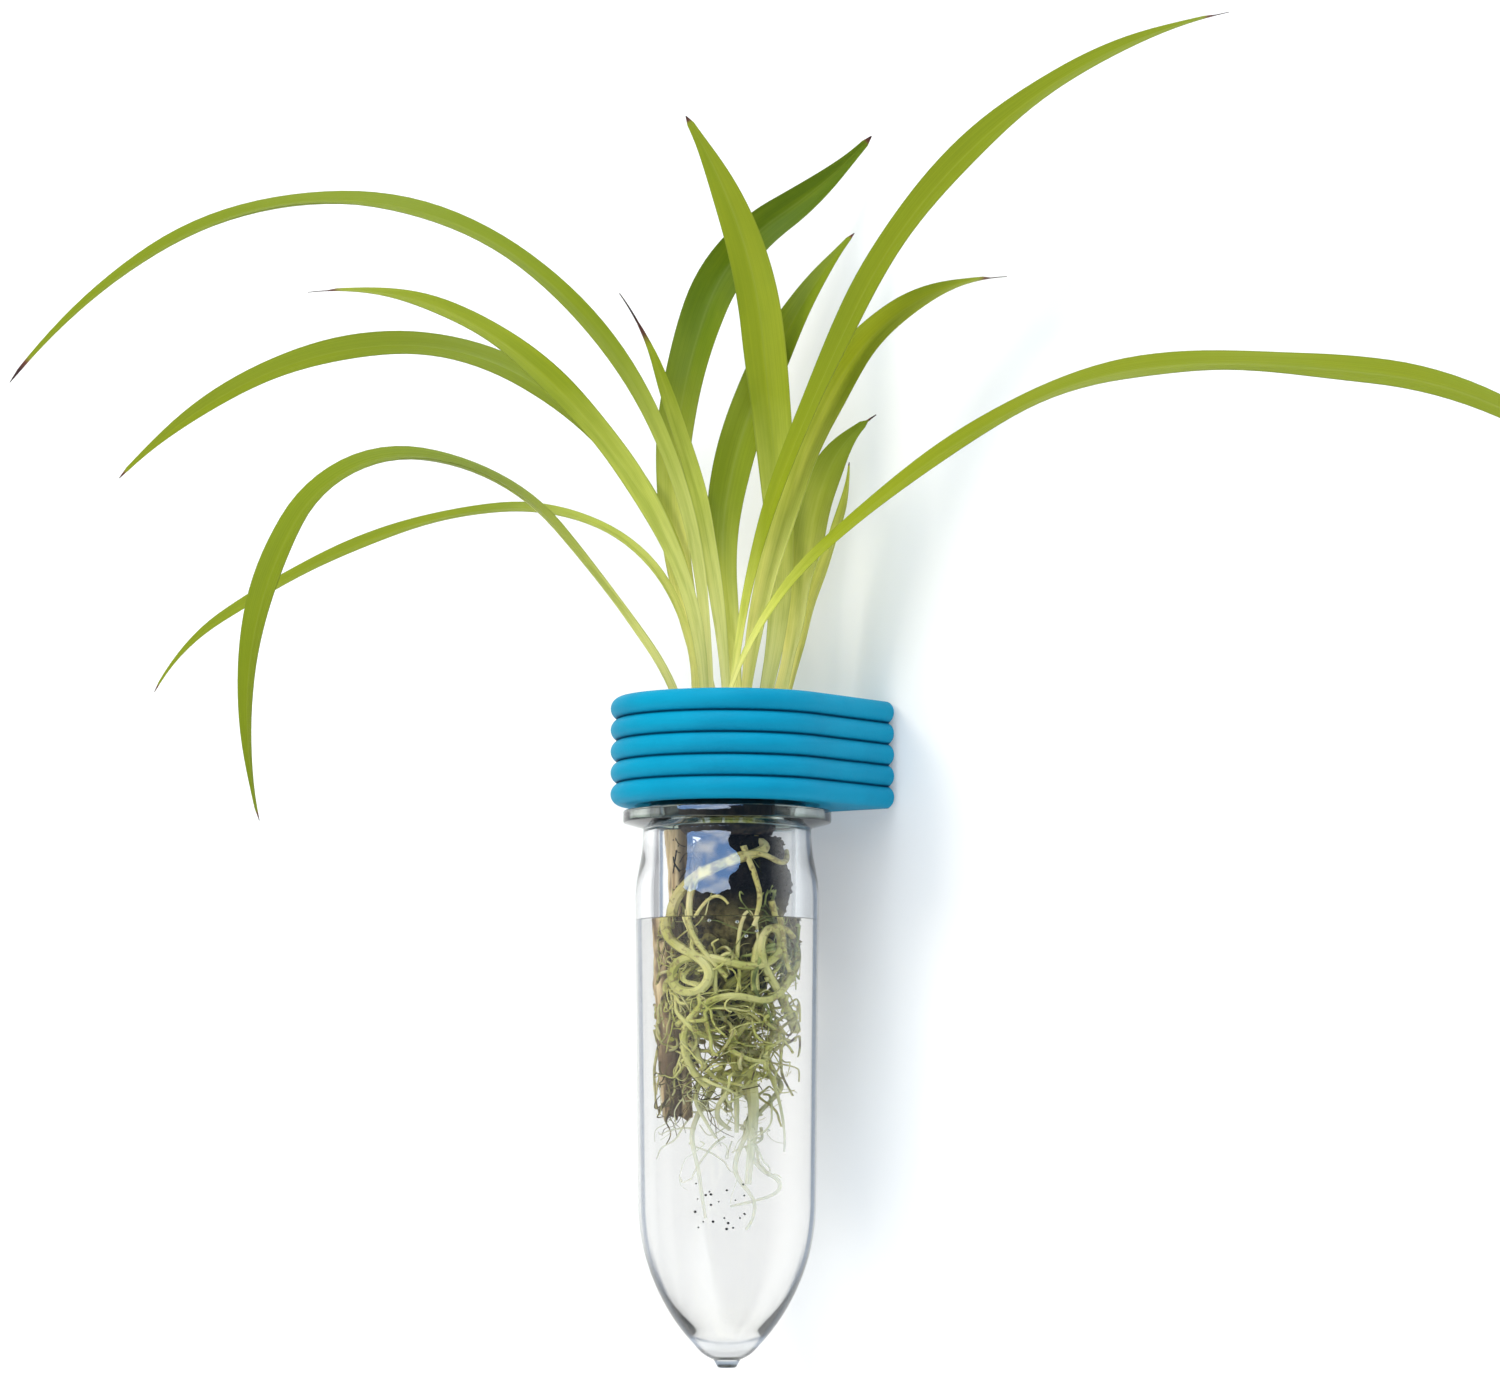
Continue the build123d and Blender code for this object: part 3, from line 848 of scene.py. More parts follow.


# %% [markdown]
# Clear plastic shows by its edges. A painted band of slate where the wall turns away from the eye draws the tube's
# two sides, stronger on the right, away from the window, and a broader band draws the dome: painted shade and
# reflection of the dim room that the edges bend and mirror. The support ring is thick and tinted grey-green, partly
# the green of thick plastic and partly painted shade, with a painted dark line under its rim. The neck in the gap
# above the ring is painted dark as a shadow under the collar, and the nub is painted slate as shade in its solid
# plastic.
# Light on its way to a matt surface or to a lamp goes straight through, and more of it is lost where the wall
# stands edge on, so the shadow is light with dark sides. The foot is so thick that it would turn black, so
# a share of the light goes straight through there too.


# %% Clear plastic
def clear_plastic(desk):
    place = desk.place()
    smears = desk.grain(desk.stretched(place, 140, 140, 45), 1, 4)
    hollow = desk.rays("Shadow", "Diffuse")
    edge = desk.slant()
    height = desk.part(place, "Z")
    normal = desk.node("ShaderNodeNewGeometry", output="Normal")
    rightness = desk.dot(normal, RIGHT)
    in_dome = height.step((dome_z - 4) * MM, (dome_z - 14) * MM)
    # Painted shade and reflection: slate bands where the wall stands edge on, stronger on the right, away from the
    # window, and broader on the dome.
    side_line = edge.step(0.62, 0.67) * edge.step(0.84, 0.79) * (0.3 + rightness.step(0.2, 0.6) * 0.7)
    dome_line = edge.step(0.52, 0.64) * edge.step(0.88, 0.76) * in_dome
    line = in_dome.maths("MAXIMUM", side_line, dome_line)
    under_neck = height.step((RING_TOP + 1.6) * MM, (RING_TOP + 1.2) * MM)
    in_ring = height.step((shoulder_z - 0.2) * MM, (shoulder_z + 0.2) * MM) * under_neck
    under_rim = height.step((RING_TOP - 1.2) * MM, (RING_TOP - 1.4) * MM) * in_ring
    in_gap = height.step((RING_TOP - 0.05) * MM, (RING_TOP + 0.05) * MM) * under_neck
    in_nub = height.step(nub_z * MM, (nub_z - 0.3) * MM)
    in_foot = height.step((floor_z + 0.8) * MM, (floor_z - 0.6) * MM) * height.step(nub_z * MM, (nub_z + 0.4) * MM)
    # The ring's grey-green is partly the green of thick plastic and partly painted shade; the line under its rim is
    # painted shade.
    thick = desk.mix(in_ring, (1, 1, 1, 1), srgb(196, 202, 196))
    lined = desk.mix(under_rim * edge.step(0.05, 0.3), thick, srgb(120, 136, 122))
    # Painted shadow: the neck in the gap under the collar is painted near black.
    shaded = desk.mix(in_gap * 0.85, lined, srgb(34, 42, 48))
    # Painted shade: the solid nub is painted slate for the dark it shows through its plastic.
    slated = desk.mix(in_nub, shaded, srgb(112, 132, 156))
    wall = desk.surface({
        "Base Color": desk.mix(line, slated, srgb(84, 104, 134)),
        "Roughness": 0.0,
        "Normal": desk.bump(smears, 0.03, 0.0004),
        "IOR": PLASTIC_IOR,
        "Transmission Weight": 1.0,
    })
    clear = desk.clear(0.95, 0.96, 0.97, 1)
    dense = desk.clear(0.42, 0.46, 0.54, 1)
    shade = desk.blend(edge.step(0.35, 0.9), clear, dense)
    straight = desk.clear(0.97, 0.98, 0.99, 1)
    foot = desk.blend(in_foot * edge.step(0.9, 0.5) * 0.8, wall, straight)
    return desk.blend(hollow, foot, shade)


tube_mesh = bare_mesh("tube", *turned(tube_profile, TUBE_SEGMENTS, thread_lift))
keep("tube_clear", tube_mesh, paint("tube_clear", clear_plastic), "tube", "tube_clear", "tube", crease=50)

# %% [markdown]
# ## Water
# The tube holds water up to a third of the way down. Its skin lies a hair inside the plastic, so that light
# passes from plastic to water with no film of air between: the two bends multiply to the bend of a true
# plastic-to-water face. The surface climbs the wall in a small meniscus, which draws the water line.

# %% Water
WATER_TOP = -26.6
WATER_OVERLAP = 0.05
MENISCUS = 0.2
WATER_IOR = 1.333


def still_water(desk):
    place = desk.place()
    haze = desk.grain(place, 60, 2)
    hollow = desk.rays("Shadow", "Diffuse")
    body = desk.surface({
        "Base Color": desk.mix(haze, (0.99, 0.985, 0.97, 1), (1, 1, 1, 1)),
        "Roughness": 0.0,
        "IOR": WATER_IOR,
        "Transmission Weight": 1.0,
    })
    clear = desk.clear(0.97, 0.97, 0.95, 1)
    return desk.blend(hollow, body, clear)


water_wall = inner_wall(WATER_OVERLAP)
rim_radius = water_wall[-1][0]
meniscus = [
    (rim_radius - MENISCUS * 2 * (1 - share), WATER_TOP + MENISCUS * 0.6 * share**3)
    for share in np.linspace(1, 0, 9)
]
below = [spot for spot in water_wall if spot[1] < WATER_TOP]
water_profile = below + meniscus + spread(meniscus[-1], (0, WATER_TOP), 4) + [(0, WATER_TOP)]
water_mesh = bare_mesh("water", *turned(water_profile, TUBE_SEGMENTS))
keep("water", water_mesh, paint("water", still_water), "tube", "water", crease=60)

# %% [markdown]
# ## The leaves
# Fourteen strap leaves stand on a ring on the crown. Each blade bends in one upright plane, leaning over more
# and more on its way, and rolls a little about its own line. A blade is folded along its midrib like a gutter,
# widest past its middle, thin at its margins, and some end in a dry hair. A path and a section in code give
# each leaf its own closed mesh that lies along its CAD solid, with a map across and along the blade for veins.

# %% Leaf table and blade
SEAT_RADIUS = 6.5
LEAF_LENGTH = 200.0
LEAF_WIDTH = 7.2
LEAF_THICKNESS = 0.5
FOLD_SHARE = 0.2
HAIR_WIDTH = 0.42
HAIR_TAPER = 0.25
STATIONS = 72
ACROSS = 11
OUTLINE_SHARES = (0.24, 0.31, 0.48, 0.7, 0.89, 1.0, 0.96, 0.7, 0.1)

# Each leaf: seat share and angle, heading, length and width shares, rolls, leans, then its look:
# darkness, share of the blade that is brown at the tip, and share that is a dry hair
LEAVES = {
    "long_left": (
        0.5, 256, 222, 0.925, 0.74,
        (-75, -68, -60, -48, -34, -33, -48),
        (0, 6, 27, 54, 90, 123, 143),
        (0.45, 0.03, 0.012),
    ),
    "wide_left": (
        0.8, 268, 238, 0.565, 0.81,
        (-70, -68, -67, -67, -60, -45, -30),
        (0, 6, 26, 40, 53, 75, 100),
        (0.1, 0.05, 0.03),
    ),
    "back_left": (
        0.57, 184, 205, 0.765, 0.76,
        (-80, -65, -52, -50, -54, -64, -63),
        (0, 9, 34, 58, 91, 115, 134),
        (0.4, 0.012, 0.01),
    ),
    "droop_left": (
        0.88, 233, 228, 0.715, 0.87,
        (-65, -46, -30, -24, -37, -35, -13),
        (0, 36, 42, 85, 152, 175, 192),
        (0.6, 0.01, 0.01),
    ),
    "low_left": (
        0.82, 210, 216, 0.64, 0.5,
        (-75, -57, -41, -34, -40, -47, -48),
        (0, 0, 28, 66, 95, 108, 117, 123, 152),
        (0.4, 0.01, 0.01),
    ),
    "brown_tip": (
        0.14, 320, 207, 0.415, 0.45,
        (-75, -70, -62, -52, -48, -50, -58),
        (0, 3, 8, 11, 18, 18, 35),
        (0.15, 0.13, 0.07),
    ),
    "dark_back": (
        0.9, 137, 38, 0.595, 1.03,
        (75, 70, 62, 59, 72, 95, 105),
        (0, -16, -7, 7, 19, 55, 42),
        (1.0, 0.015, 0.012),
    ),
    "tall_middle": (
        0.76, 22, 217, 0.555, 0.96,
        (-75, -72, -71, -77, -85, -91, -95),
        (0, -11, 1, 5, 6, 20, 31),
        (0.25, 0.01, 0.008),
    ),
    "mid_back": (
        0.37, 79, 37, 0.475, 0.93,
        (75, 77, 78, 78, 76, 62, 45),
        (0, -4, -7, 10, 22, 30, 39),
        (0.6, 0.01, 0.01),
    ),
    "long_right_up": (
        0.6, 313, 2, 0.79, 0.81,
        (60, 73, 77, 79, 77, 61, 42),
        (0, 12, 27, 32, 52, 70, 87),
        (0.4, 0.03, 0.02),
    ),
    "bent_right": (
        0.54, 352, 10, 0.5, 0.92,
        (70, 73, 78, 83, 87, 65, 30),
        (0, 8, 16, 20, 34, 64, 92),
        (0.15, 0.05, 0.03),
    ),
    "dark_right": (
        0.85, 45, 28, 0.32, 0.93,
        (75, 55, 38, 42, 68, 82, 90),
        (0, 20, 14, 7, 8, 26, 58),
        (0.9, 0.03, 0.03),
    ),
    "thin_right": (
        0.92, 63, 40, 0.275, 0.46,
        (40, 40, 40, 33, 32, 32, 33),
        (0, 24, 15, 15, 20, 16, 0),
        (0.2, 0.01, 0.01),
    ),
    "long_right": (
        0.93, 292, -8, 1.0, 0.81,
        (65, 77, 70, 47, 35, 46, 57),
        (0, 36, 61, 67, 75, 91, 99, 102, 117, 126),
        (0.25, 0.02, 0.01),
    ),
}

# How soon the base of a leaf turns green, where it isn't like most
RIPENESS = {
    "long_right_up": 1.6, "long_right": 1.5, "mid_back": 1.4, "back_left": 1.15,
    "tall_middle": 1.1, "long_left": 0.85, "dark_back": 0.85,
}


def eased(values, shares):
    """Evenly spaced values read at shares of the way, with their corners rounded off."""
    line = np.interp(shares, np.linspace(0, 1, len(values)), values)
    return np.convolve(np.pad(line, 3, mode="edge"), np.ones(7) / 7, "valid")


def leaf_rings(seat_share, seat_angle, heading, length_share, width_share, rolls, leans, hair_share):
    """Closed rings of points across a blade from seat to tip."""
    shares = np.linspace(0, 1, STATIONS + 1)
    outward = around(1, heading, 0) - AXIS
    across = UP.cross(outward)
    spot = around(seat_share * SEAT_RADIUS, seat_angle, crown_high.z)
    widths = eased(OUTLINE_SHARES, np.minimum(shares / (1 - hair_share), 1)) * width_share * LEAF_WIDTH
    rings = []
    rows = zip(shares, np.radians(eased(leans, shares)), np.radians(eased(rolls, shares)), widths)
    for share, lean, roll, width in rows:
        along = outward * math.sin(lean) + UP * math.cos(lean)
        side = across * math.cos(roll) + along.cross(across) * math.sin(roll)
        face = along.cross(side)
        if share > 1 - hair_share:
            width = min(width, HAIR_WIDTH - HAIR_TAPER * (share - 1 + hair_share) / hair_share)
        middle_thick = min(LEAF_THICKNESS, 0.1 + 0.09 * width)
        lower, upper = [], []
        for k in np.linspace(-1, 1, ACROSS):
            ripple = 0.025 * k * abs(k) * math.sin(31 * share + seat_angle)
            rise = width * (FOLD_SHARE * (math.sqrt(k * k + 0.02) - 0.14) / 0.87 + ripple)
            thick = middle_thick * (1 - 0.8 * abs(k) ** 1.5)
            lower.append(spot + side * (k * width / 2) + face * rise)
            upper.append(spot + side * (k * width / 2) + face * (rise + thick))
        rings.append(lower + upper[::-1])
        ahead = np.radians(np.interp(share + 0.5 / STATIONS, np.linspace(0, 1, len(leans)), leans))
        spot = spot + (outward * math.sin(ahead) + UP * math.cos(ahead)) * (length_share * LEAF_LENGTH / STATIONS)
    return rings


def leaf_mesh(name, row):
    """Leaf mesh with a map of the blade and marks for its darkness, its brown tip and the way from its seat."""
    tone, brown_share, hair_share = row[-1]
    rings = leaf_rings(*row[:-1], hair_share)
    size = len(rings[0])
    mesh = bare_mesh(name, [point for ring in rings for point in ring], capped(len(rings), size))
    shares = np.repeat(np.linspace(0, 1, len(rings)), size)
    places = np.linspace(0, 1, ACROSS)
    spots = np.tile(np.concatenate([places, places[::-1]]), len(rings))
    corners = np.array([loop.vertex_index for loop in mesh.loops])
    chart = np.stack([spots[corners], shares[corners]], axis=1)
    mesh.uv_layers.new(name="blade").data.foreach_set("uv", chart.ravel())
    brown = np.clip((shares - 1 + brown_share) / (0.6 * brown_share), 0, 1)
    reach = shares * row[3] * LEAF_LENGTH * RIPENESS.get(name, 1)
    for label, values in (("tone", np.full(len(shares), tone)), ("brown", brown), ("reach", reach)):
        mesh.attributes.new(label, "FLOAT", "POINT").data.foreach_set("value", values)
    return mesh


# %% [markdown]
# A leaf is pale cream where it was shaded by its neighbours, then yellow-green, then green. Fine veins run along it,
# the midrib is a light line, the margins are thin and light, and old tips dry to purple-brown. Light comes through
# the blade from the bright wall behind it, which a share of translucent shader gives. The pale bases also glow
# faintly in their own colour: painted light that stands for the light they pass on among themselves where the other
# leaves shade them.


# %% Leaf flesh
def leaf_flesh(desk):
    spot = desk.part(desk.node("ShaderNodeUVMap", {"uv_map": "blade"}), "X")
    marks = ("tone", "brown", "reach")
    tone, brown, reach = [desk.node("ShaderNodeAttribute", {"attribute_name": m}, output="Fac") for m in marks]
    off_rib = abs(spot * 2 - 1)
    vein_place = desk.node("ShaderNodeCombineXYZ", {}, {"X": spot * 40, "Y": reach * 0.02, "Z": tone * 9})
    veins = desk.grain(vein_place, 1, 3).step(0.34, 0.66)
    cloud_place = desk.node("ShaderNodeCombineXYZ", {}, {"X": spot * 2.5, "Y": reach * 0.07, "Z": tone * 5})
    clouds = desk.grain(cloud_place, 1, 3)
    fresh = desk.ramp(
        reach / 120 + clouds * 0.08 - 0.04,
        (0.0, srgb(246, 240, 196)),
        (0.2, srgb(243, 239, 160)),
        (0.4, srgb(228, 230, 108)),
        (0.58, srgb(182, 190, 42)),
        (1.0, srgb(160, 168, 32)),
    )
    # Each leaf is darker green out along its blade by its tone.
    toned_darker = desk.mix(reach.step(24, 68) * tone, fresh, srgb(106, 130, 12))
    cloudy = desk.mix(clouds.step(0.4, 0.72) * 0.35, toned_darker, srgb(144, 160, 30))
    veined = desk.mix(veins * 0.6, cloudy, (0.80, 0.85, 0.70, 1), "MULTIPLY")
    ribbed = desk.mix((1 - off_rib.step(0.0, 0.1)) * 0.06, veined, srgb(206, 212, 130))
    edged = desk.mix(off_rib.step(0.88, 1.0) * 0.3, ribbed, srgb(118, 132, 52))
    dry = desk.ramp(brown, (0.0, srgb(150, 120, 60)), (0.45, srgb(112, 66, 52)), (1.0, srgb(58, 40, 44)))
    colour = desk.mix(brown.step(0.05, 0.5), edged, dry)
    skin = desk.surface({
        "Base Color": colour,
        "Roughness": 0.36 + 0.16 * veins,
        "Normal": desk.bump(veins, 0.1, 0.00012),
        "Specular IOR Level": 0.28,
        # Painted light: the bases glow faintly in their own colour, fading out along the blade.
        "Emission Color": desk.mix(reach.step(66, 8), (0, 0, 0, 1), colour),
        "Emission Strength": 0.16,
    })
    through = desk.node("ShaderNodeBsdfTranslucent", {}, {"Color": colour})
    return desk.blend(0.3, skin, through)


leaf_green = paint("leaf_green", leaf_flesh)
for leaf_name, leaf_row in LEAVES.items():
    leaf_piece = leaf_mesh(leaf_name, leaf_row)
    keep(f"blade_{leaf_name}", leaf_piece, leaf_green, "plant", "leaf_green", f"leaf_{leaf_name}", crease=75)

# %% [markdown]
# ## The crown
# The crown is the short body of the cutting, just inside the neck. Its top, between the leaves, is pale and
# fibrous, and its sides and underside are caked with black soil, which is what shows under the collar.

# %% Crown
CROWN_RADIUS = (crown_high.x - crown_low.x) / 2
CROWN_OUTLINE = ((0.0, 0.0), (0.0, 0.55), (0.04, 0.86), (0.2, 1.0), (0.75, 1.0), (0.95, 0.86), (1.0, 0.6), (1.0, 0.0))
CROWN_ROWS = 40
CROWN_SIDES = 72


def drawn_out(corners, rows):
    """Even rows along a line through corners, each a pair of numbers."""
    knots = np.linspace(0, 1, len(corners))
    return [tuple(np.interp(row, knots, column) for column in zip(*corners)) for row in np.linspace(0, 1, rows)]


def crown_reach(angle, height, radius):
    """How far the soil on the crown's side is pressed in at a place."""
    way = compass(math.radians(angle))
    lumps = noise.noise(way * 2.2 + UP * height * 0.5) + 0.6 * noise.noise(way * 6 + UP * height * 1.4)
    return (lumps - 1) * 0.045 * radius


crown_profile = [
    (share * CROWN_RADIUS, crown_low.z + rise * (crown_high.z - crown_low.z))
    for rise, share in drawn_out(CROWN_OUTLINE, CROWN_ROWS)
]


def caked_crown(desk):
    place = desk.place()
    height = desk.part(place, "Z")
    fibres = desk.grain(desk.stretched(place, 900, 900, 120), 1, 3)
    lumps = desk.grain(place, 800, 4)
    pale = desk.mix(fibres.step(0.3, 0.7), srgb(190, 182, 128), srgb(222, 216, 172))
    earth = desk.mix(lumps.step(0.35, 0.7), srgb(22, 19, 18), srgb(66, 54, 40))
    top = (height + lumps * 0.001).step((crown_high.z - 0.9) * MM, (crown_high.z + 0.2) * MM)
    bumps = desk.bump(lumps + fibres * 0.4, 0.7, 0.0006)
    return desk.surface({"Base Color": desk.mix(top, earth, pale), "Roughness": 0.6 + 0.3 * lumps, "Normal": bumps})


crown_mesh = bare_mesh("crown", *turned(crown_profile, CROWN_SIDES, crown_reach))
keep("crown_caked", crown_mesh, paint("crown_pale", caked_crown), "plant", "crown_pale", "crown", crease=70)

# %% [markdown]
# ## Stem and soil
# Behind the wall of the tube stands a dry woody stem, tan and split lengthwise, and beside it hangs a plug of
# black potting soil. Both are plain turned forms with noise pressed into their points: long ridges for bark,
# lumps for soil. The soil steps back from the stem, as it does in the CAD model.

# %% Woody stem
STEM_TOP = around(7.9, 217, crown_low.z + 1.5)
STEM_FOOT = around(5.6, 217, crown_low.z - 43)
STEM_RADII = (2.3, 1.8)
STEM_RINGS = 90
STEM_SIDES = 40


def stem_reach(angle, share):
    """Radius of the split bark at an angle and a share of the way down."""
    radius = STEM_RADII[0] + (STEM_RADII[1] - STEM_RADII[0]) * share
    ring = compass(angle)
    ridges = noise.noise(ring * 2.6 + UP * share * 3)
    flakes = noise.noise(ring * 5 + UP * share * 26)
    knot = math.exp(-(((share - 0.55) / 0.03) ** 2)) * 0.25
    return radius * (1 + 0.1 * ridges + 0.06 * flakes) + knot


stem_points = []
for ring in range(STEM_RINGS + 1):
    share = ring / STEM_RINGS
    middle = STEM_TOP.lerp(STEM_FOOT, share) + RIGHT * 0.25 * math.sin(5 * share)
    for step in range(STEM_SIDES):
        angle = math.tau * step / STEM_SIDES
        frayed = 4.6 * noise.noise(Vector((3 * math.cos(angle), 3 * math.sin(angle), 7))) if ring == STEM_RINGS else 0
        stem_points.append(middle + compass(angle) * stem_reach(angle, share)
                           + UP * frayed)
stem_mesh = bare_mesh("stem", stem_points, capped(STEM_RINGS + 1, STEM_SIDES))


def split_bark(desk):
    place = desk.place()
    fibres = desk.grain(desk.stretched(place, 1500, 1500, 70), 1, 4)
    patches = desk.grain(desk.stretched(place, 380, 380, 150), 1, 2)
    tan = desk.mix(fibres.step(0.3, 0.7), srgb(176, 146, 102), srgb(234, 212, 166))
    stained = desk.mix(patches.step(0.46, 0.62) * 0.8, tan, srgb(88, 64, 40))
    sideways = desk.dot(place, RIGHT)
    aside = sideways + fibres * 0.0012 - AXIS.dot(RIGHT) * MM
    striped = desk.mix(aside.step(-0.0074, -0.0062) * aside.step(-0.0044, -0.0054) * 0.75, stained, srgb(64, 44, 28))
    cracked = desk.mix(fibres.step(0.4, 0.3) * 0.7, striped, srgb(46, 32, 22))
    bumps = desk.bump(fibres, 0.6, 0.0004)
    return desk.surface({"Base Color": cracked, "Roughness": 0.6 + 0.25 * fibres, "Normal": bumps})


bark = paint("stem_bark", split_bark)
keep("stem_woody", stem_mesh, bark, "plant", "stem_bark", "stem", crease=70)

# %% Soil plug
SOIL_MIDDLE = seen_at(2.2, 0, crown_low.z)
SOIL_RADIUS = 7.6
SOIL_LENGTH = 19.0
SOIL_OUTLINE = ((0.0, 0.8), (0.12, 0.92), (0.34, 1.0), (0.62, 0.92), (0.86, 0.76), (1.0, 0.5))
SOIL_ROWS = 44
SOIL_SIDES = 64
STEM_PLAY = 0.25


def soil_point(share, angle):
    """Lumpy point of the plug that keeps clear of the stem."""
    reach = np.interp(share, *zip(*SOIL_OUTLINE)) * SOIL_RADIUS
    way = compass(angle)
    lumps = noise.noise(way * 1.3 + UP * share * 4) * 0.16 + noise.noise(way * 3.7 + UP * share * 11) * 0.09
    spot = SOIL_MIDDLE - UP * SOIL_LENGTH * share
    stem_share = SOIL_LENGTH * share / (STEM_TOP.z - STEM_FOOT.z)
    stem_spot = STEM_TOP.lerp(STEM_FOOT, stem_share)
    reach *= 1 + lumps
    while reach > 1 and (spot + way * reach - stem_spot).length < STEM_RADII[0] * 1.15 + STEM_PLAY:
        reach -= 0.1
    return spot + way * reach


soil_points = [soil_point(row / SOIL_ROWS, math.tau * k / SOIL_SIDES)
               for row in range(SOIL_ROWS + 1) for k in range(SOIL_SIDES)]
soil_mesh = bare_mesh("soil", soil_points, capped(SOIL_ROWS + 1, SOIL_SIDES))


def potting_soil(desk):
    place = desk.place()
    lumps = desk.grain(place, 700, 4)
    crumbs = desk.grain(place, 2600, 3)
    height = desk.part(place, "Z")
    wet = desk.mix(lumps.step(0.3, 0.7), srgb(6, 6, 9), srgb(28, 24, 23))
    brown = desk.mix(lumps.step(0.3, 0.7), srgb(64, 56, 34), srgb(136, 124, 80))
    colour = desk.mix((height + lumps * 0.004).step(-0.02, -0.026), wet, brown)
    bumps = desk.bump(lumps + crumbs * 0.5, 0.8, 0.0008)
    rough = 0.55 + 0.35 * crumbs
    return desk.surface({"Base Color": colour, "Roughness": rough, "Normal": bumps, "Specular IOR Level": 0.15})


soil_dark = paint("soil_dark", potting_soil)
soil_start = soil_mesh.copy()
keep("soil_lump", soil_mesh, soil_dark, "plant", "soil_dark", "soil_plug", crease=80)

# %% [markdown]
# Under the plug the soil is gone and what is left is a brown mat of the oldest roots, a lumpy core that the
# roots in front stand out from.

# %% Root mat
MAT_PROFILE = ((0.0, -44.0), (1.6, -43.0), (3.2, -40.0), (4.6, -36.0), (5.4, -32.0), (4.8, -29.0), (0.0, -28.4))
MAT_ROWS = 40
MAT_SIDES = 64


def mat_reach(angle, radius, height):
    """How far the mat stands out or in at a place."""
    way = compass(math.radians(angle))
    return radius * (0.28 * noise.noise(way * 1.7 + UP * height * 0.3) + 0.16 * noise.noise(way * 5 + UP * height))


def matted_root(desk):
    place = desk.place()
    strands = desk.grain(desk.stretched(place, 1100, 1100, 420), 1, 4)
    colour = desk.mix(strands.step(0.3, 0.7), srgb(58, 50, 28), srgb(150, 142, 84))
    bumps = desk.bump(strands, 0.9, 0.0008)
    return desk.surface({"Base Color": colour, "Roughness": 0.6 + 0.3 * strands, "Normal": bumps})


mat_mesh = bare_mesh("mat", *turned(drawn_out(MAT_PROFILE, MAT_ROWS), MAT_SIDES, mat_reach))
keep("roots_mat", mat_mesh, paint("root_matted", matted_root), "plant", "root_pale", crease=80)

# %% [markdown]
# Crumbs of bark and soil stick out of the plug. They are one small rough ball, set by Geometry Nodes on points
# that are scattered over the plug with a fixed seed, each turned and scaled by chance.


# %% Soil crumbs
def scattered(desk, entry, density):
    """Points strewn over the start mesh with a fixed seed."""
    sockets = {"Mesh": entry, "Density": entry.other(density), "Seed": entry.other("Seed")}
    return desk.node("GeometryNodeDistributePointsOnFaces", {}, sockets)


def any_turn(desk):
    """A turn about every axis by chance."""
    return desk.node("FunctionNodeRandomValue", {"data_type": "FLOAT_VECTOR"}, {1: (6.3, 6.3, 6.3)})


def crumb_rule(desk, entry):
    points = scattered(desk, entry, "Crumbs per square metre")
    ball = desk.node("GeometryNodeMeshIcoSphere", {}, {"Radius": entry.other("Crumb radius"), "Subdivisions": 1})
    turn = any_turn(desk)
    size = desk.node("FunctionNodeRandomValue", {"data_type": "FLOAT_VECTOR"}, {0: (0.3, 0.3, 0.4), 1: (1, 1.2, 1.9)})
    sockets = {"Points": points, "Instance": ball, "Rotation": turn, "Scale": size}
    return desk.node("GeometryNodeInstanceOnPoints", {}, sockets)


crumb_sizes = {"Crumbs per square metre": 420000.0, "Crumb radius": 0.38 * MM, "Seed": 4}
crumbs = grown("crumbs", soil_start, crumb_sizes, crumb_rule, soil_dark)
keep("soil_crumbs", crumbs, soil_dark, "plant", "soil_dark", crease=30)

# %% [markdown]
# ## Roots
# The roots are pale, fleshy and looped. Two thick ones wind round the inside of the tube, three curl down from the
# soil, two hang to the bottom, and finer ones loop between them. Each is a smooth curve through points that were
# listed one by one or made by a rule, given a round section that thins towards its tip, and then made uneven.

# %% Root helpers
def root_mesh(name, lines, unevenness=0.1, smooth=7):
    """Round, slightly lumpy roots. Each line is its points, its radius and the share of it left at the tip."""
    data = bpy.data.curves.new(name, "CURVE")
    data.dimensions = "3D"
    data.bevel_depth = MM
    data.bevel_resolution = 2
    data.use_fill_caps = True
    for points, radius, tip_share in lines:
        spline = data.splines.new("NURBS")
        spline.points.add(len(points) - 1)
        for number, (spot, point) in enumerate(zip(points, spline.points)):
            point.co = (*(spot * MM), 1)
            point.radius = radius * (1 - (1 - tip_share) * number / (len(points) - 1))
        spline.order_u = 4
        spline.use_endpoint_u = True
        spline.resolution_u = smooth
    holder = held(name, data)
    mesh = bpy.data.meshes.new_from_object(holder)
    bpy.data.objects.remove(holder)
    places, normals = np.empty((2, len(mesh.vertices), 3))
    mesh.vertices.foreach_get("co", places.ravel())
    mesh.vertices.foreach_get("normal", normals.ravel())
    lumps = np.array([noise.noise(Vector(place) / MM * 0.9) for place in places])
    largest = max(radius for points, radius, tip_share in lines)
    places += normals * lumps[:, None] * largest * unevenness * MM
    mesh.vertices.foreach_set("co", places.ravel())
    return mesh


def curl_line(middle, start, top, bottom, radius, turns, sway):
    """Uneven corkscrew down an upright line, as points."""
    points = []
    steps = round(turns * 9)
    for step in range(steps + 1):
        share = step / steps
        angle = math.radians(start) + math.tau * turns * share
        reach = radius * (0.85 + 0.35 * math.sin(7 * share + sway))
        lift = 1.1 * math.sin(angle + sway) * share
        drift = 0.7 * math.sin(4 * share + sway)
        points.append(middle + RIGHT * (reach * math.cos(angle) + drift) + NEAR * reach * math.sin(angle)
                      + UP * (top + (bottom - top) * share + lift))
    return points


def route(*spots):
    """Points of a root, given as the photograph shows them."""
    return [seen_at(*spot) for spot in spots]


